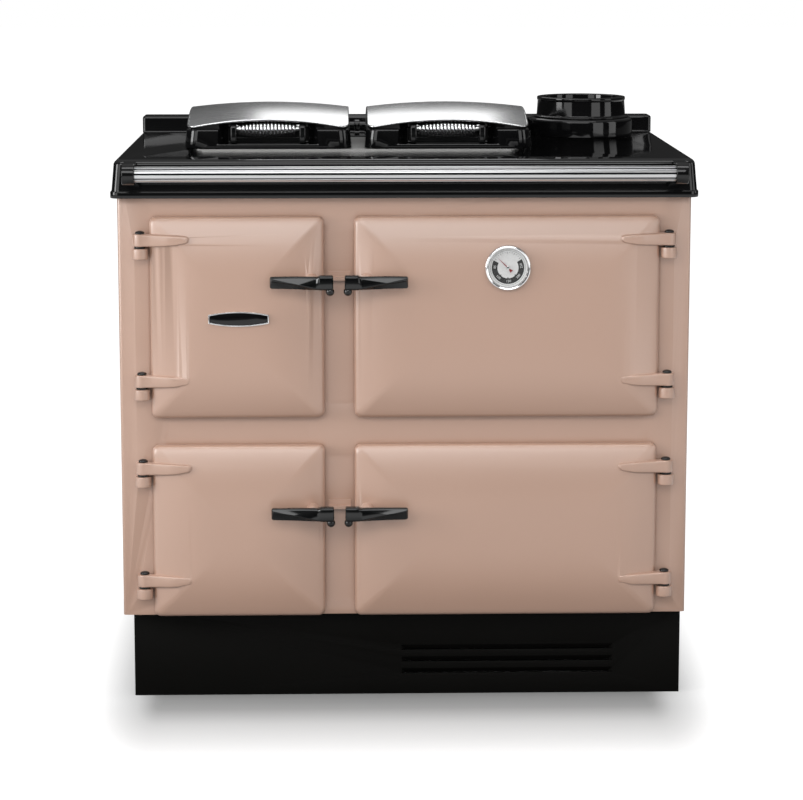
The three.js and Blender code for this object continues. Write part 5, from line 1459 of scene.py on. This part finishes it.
def makePlinth():
    s = plinthSettings
    low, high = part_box("plinth")
    plinth = addBlock("plinth", low, high)
    with editing(plinth, "EDGE"):    # round the upright corners a little
        pick("EDGE", lambda edge: abs(edge.verts[0].co.z - edge.verts[1].co.z) > 0.1)
        bpy.ops.mesh.bevel(offset=2 * mm, segments=4)
    wall, flange = s["wall"], s["flange"]
    inside = addBlock("inside", (low.x + wall, low.y + wall, low.z + wall),
                      (high.x - wall, high.y - wall, high.z - wall))
    shaft = addBlock("shaft", (low.x + flange, low.y + flange, low.z - wall),
                     (high.x - flange, high.y - flange, high.z + wall))
    right = high.x - s["louvreRight"]
    left = right - s["louvreWidth"]
    slots = []
    blades = []
    for i in range(s["count"]):
        middle = s["lowest"] + i * s["pitch"]
        foot, head = middle - s["louvreHeight"] / 2, middle + s["louvreHeight"] / 2
        slots.append(addBlock("slot", (left, low.y - wall, foot), (right, low.y + 2 * wall, head)))
        blades.append(makeLouvre(left, right, low.y, foot, head))
    combine(plinth, "DIFFERENCE", inside, shaft, *slots)
    softenEdges(plinth, 0.5 * mm, 2, 50)
    plinth = gather("plinth", [closeUp(plinth)] + blades)
    smoothShade(plinth, 32)
    finishPiece(plinth, "range", "plinth_paint", "plinth")


def makeLouvre(left, right, face, foot, head):   # a tongue pressed in at its top, closed at both ends
    s = plinthSettings
    reach, blade, mitre = s["reach"], s["blade"], s["mitre"]
    front = face + s["lap"]
    tongue = growBody("tongue", [(left + mitre, right - mitre, face + reach, face + reach + blade, foot),
                                 (left, right, front, front + blade, head)], "z", 0)
    cheeks = []
    for end, inward in ((left, mitre), (right, -mitre)):
        corners = [(end, front, foot), (end, front, head), (end + inward, face + reach, foot)]
        cheeks.append(fillOutline("cheek", corners, (0, blade, 0)))
    return gather("tongue", [tongue] + cheeks)


makePlinth()
print("plinth modelled")


# floor, backdrop and lamps
lightSettings = {            # place, aim, width and height in metres, watts
    "key": ((-0.4, -3.1, 2.35), (0, -0.1, 0.5), (3.2, 1.1), 40),
    "fill": ((0.2, -4.4, 1.2), (0, 0, 0.45), (3.4, 2.0), 28),
    "frontLeft": ((-2.1, -2.7, 1.2), (0, 0, 0.5), (1.4, 1.8), 16),
    "frontRight": ((2.2, -2.6, 1.2), (0, 0, 0.5), (1.4, 1.8), 15),
    "left": ((-2.9, -1.3, 1.3), (0, 0, 0.5), (1.0, 1.6), 46),
    "right": ((3.0, -0.8, 1.5), (0, 0, 0.5), (1.0, 1.6), 10),
    "lids": ((0.0, 0.7, 1.5), (0.0, 0.7, 0), (0.6, 1.0), 3),
    "edge": ((0, -0.9, 2.6), (0, -0.2, 0.9), (2.4, 0.5), 15),
}


def makeLights():
    for name, (place, aim, size, watts) in lightSettings.items():
        direction = Vector(aim) - Vector(place)
        bpy.ops.object.light_add(type="AREA", location=place,
                                 rotation=direction.to_track_quat("-Z", "Y").to_euler())
        lamp = bpy.context.active_object
        lamp.name = f"lamp{toPlainName(name)}"
        lamp.data.shape = "RECTANGLE"
        lamp.data.size, lamp.data.size_y = size
        lamp.data.energy = watts
        lamp.visible_glossy = name != "fill"
        lamp.visible_camera = False


floorSettings = {"seen": 0.4, "bounce": 0.24, "foot": (0.4, 0.27, 0), "sideways": 2.8, "fade": 0.5,
                 "reach": 10,
                 "glow": ((0.0, 0.0), (0.07, 0.04), (0.23, 0.31), (0.39, 0.47), (0.65, 0.8), (0.85, 1.0)),
                 "mirrored": ((0.05, 0.08), (0.14, 0.85), (0.34, 0.85), (0.5, 0.12), (0.7, 0.05))}


def lightPaths(net):
    return [net.add("ShaderNodeLightPath", output=name)
            for name in ("Is Camera Ray", "Is Glossy Ray", "Is Transmission Ray")]


def makeFloor():             # reads white and throws little light back up; its shadow is partly real and partly painted, as the glow is lowered near the plinth's foot
    s = floorSettings
    bpy.ops.mesh.primitive_plane_add(size=60, location=(0, 0, 0))
    floor = settle(bpy.context.active_object, "floor")
    material, net = newNet("floor_white")
    camera, glossy, through = lightPaths(net)
    place = net.objectPlace()
    distance = net.add("ShaderNodeVectorMath", {"operation": "LENGTH"}, {0: place}, "Value")
    beyond = place                # how far a point lies from the plinth's foot, which shapes the painted shadow
    for operation, other in (("ABSOLUTE", (0, 0, 0)), ("SUBTRACT", s["foot"]), ("MAXIMUM", (0, 0, 0)),
                             ("MULTIPLY", (s["sideways"], 1, 0))):
        beyond = net.add("ShaderNodeVectorMath", {"operation": operation}, {0: beyond, 1: other})
    away = net.add("ShaderNodeVectorMath", {"operation": "LENGTH"}, {0: beyond}, "Value")
    mirrored = net.ramp(distance * (1 / s["reach"]), *s["mirrored"]) * glossy
    plain = camera + through
    # painted shadow: the glow seen by the camera falls off towards the plinth's foot
    glow = net.ramp(away * (1 / s["fade"]), *s["glow"]) * plain + mirrored
    paper = net.mixColour(camera, (s["bounce"],) * 3 + (1,), (s["seen"],) * 3 + (1,))
    diffuse = net.add("ShaderNodeBsdfDiffuse", None, {"Color": paper})
    light = net.add("ShaderNodeEmission", None, {"Strength": glow})
    both = net.add("ShaderNodeAddShader", None, {0: diffuse, 1: light})
    net.add("ShaderNodeOutputMaterial", None, {"Surface": both})
    floor.data.materials.append(material)


def makeWorld():
    world = bpy.data.worlds.new("studio")
    bpy.context.scene.world = world
    world.use_nodes = True
    net = Net(world.node_tree)
    camera, glossy, through = lightPaths(net)
    direction = net.add("ShaderNodeTexCoord", output="Generated")
    height = net.add("ShaderNodeSeparateXYZ", None, {0: direction}, 2)
    sky = net.ramp(height, (0.0, 0.02), (0.12, 0.03), (0.34, 0.12), (0.62, 0.2), (1.0, 0.6))
    white = camera + through
    plain = 0.22 * (1 - white) * (1 - glossy)
    strength = white + glossy * sky + plain
    shader = net.add("ShaderNodeBackground", None, {"Color": (1, 1, 1, 1), "Strength": strength})
    net.add("ShaderNodeOutputWorld", None, {"Surface": shader})


makeFloor()
makeWorld()
makeLights()
bpy.context.scene.view_settings.view_transform = "Standard"
print("floor, backdrop and lamps placed")
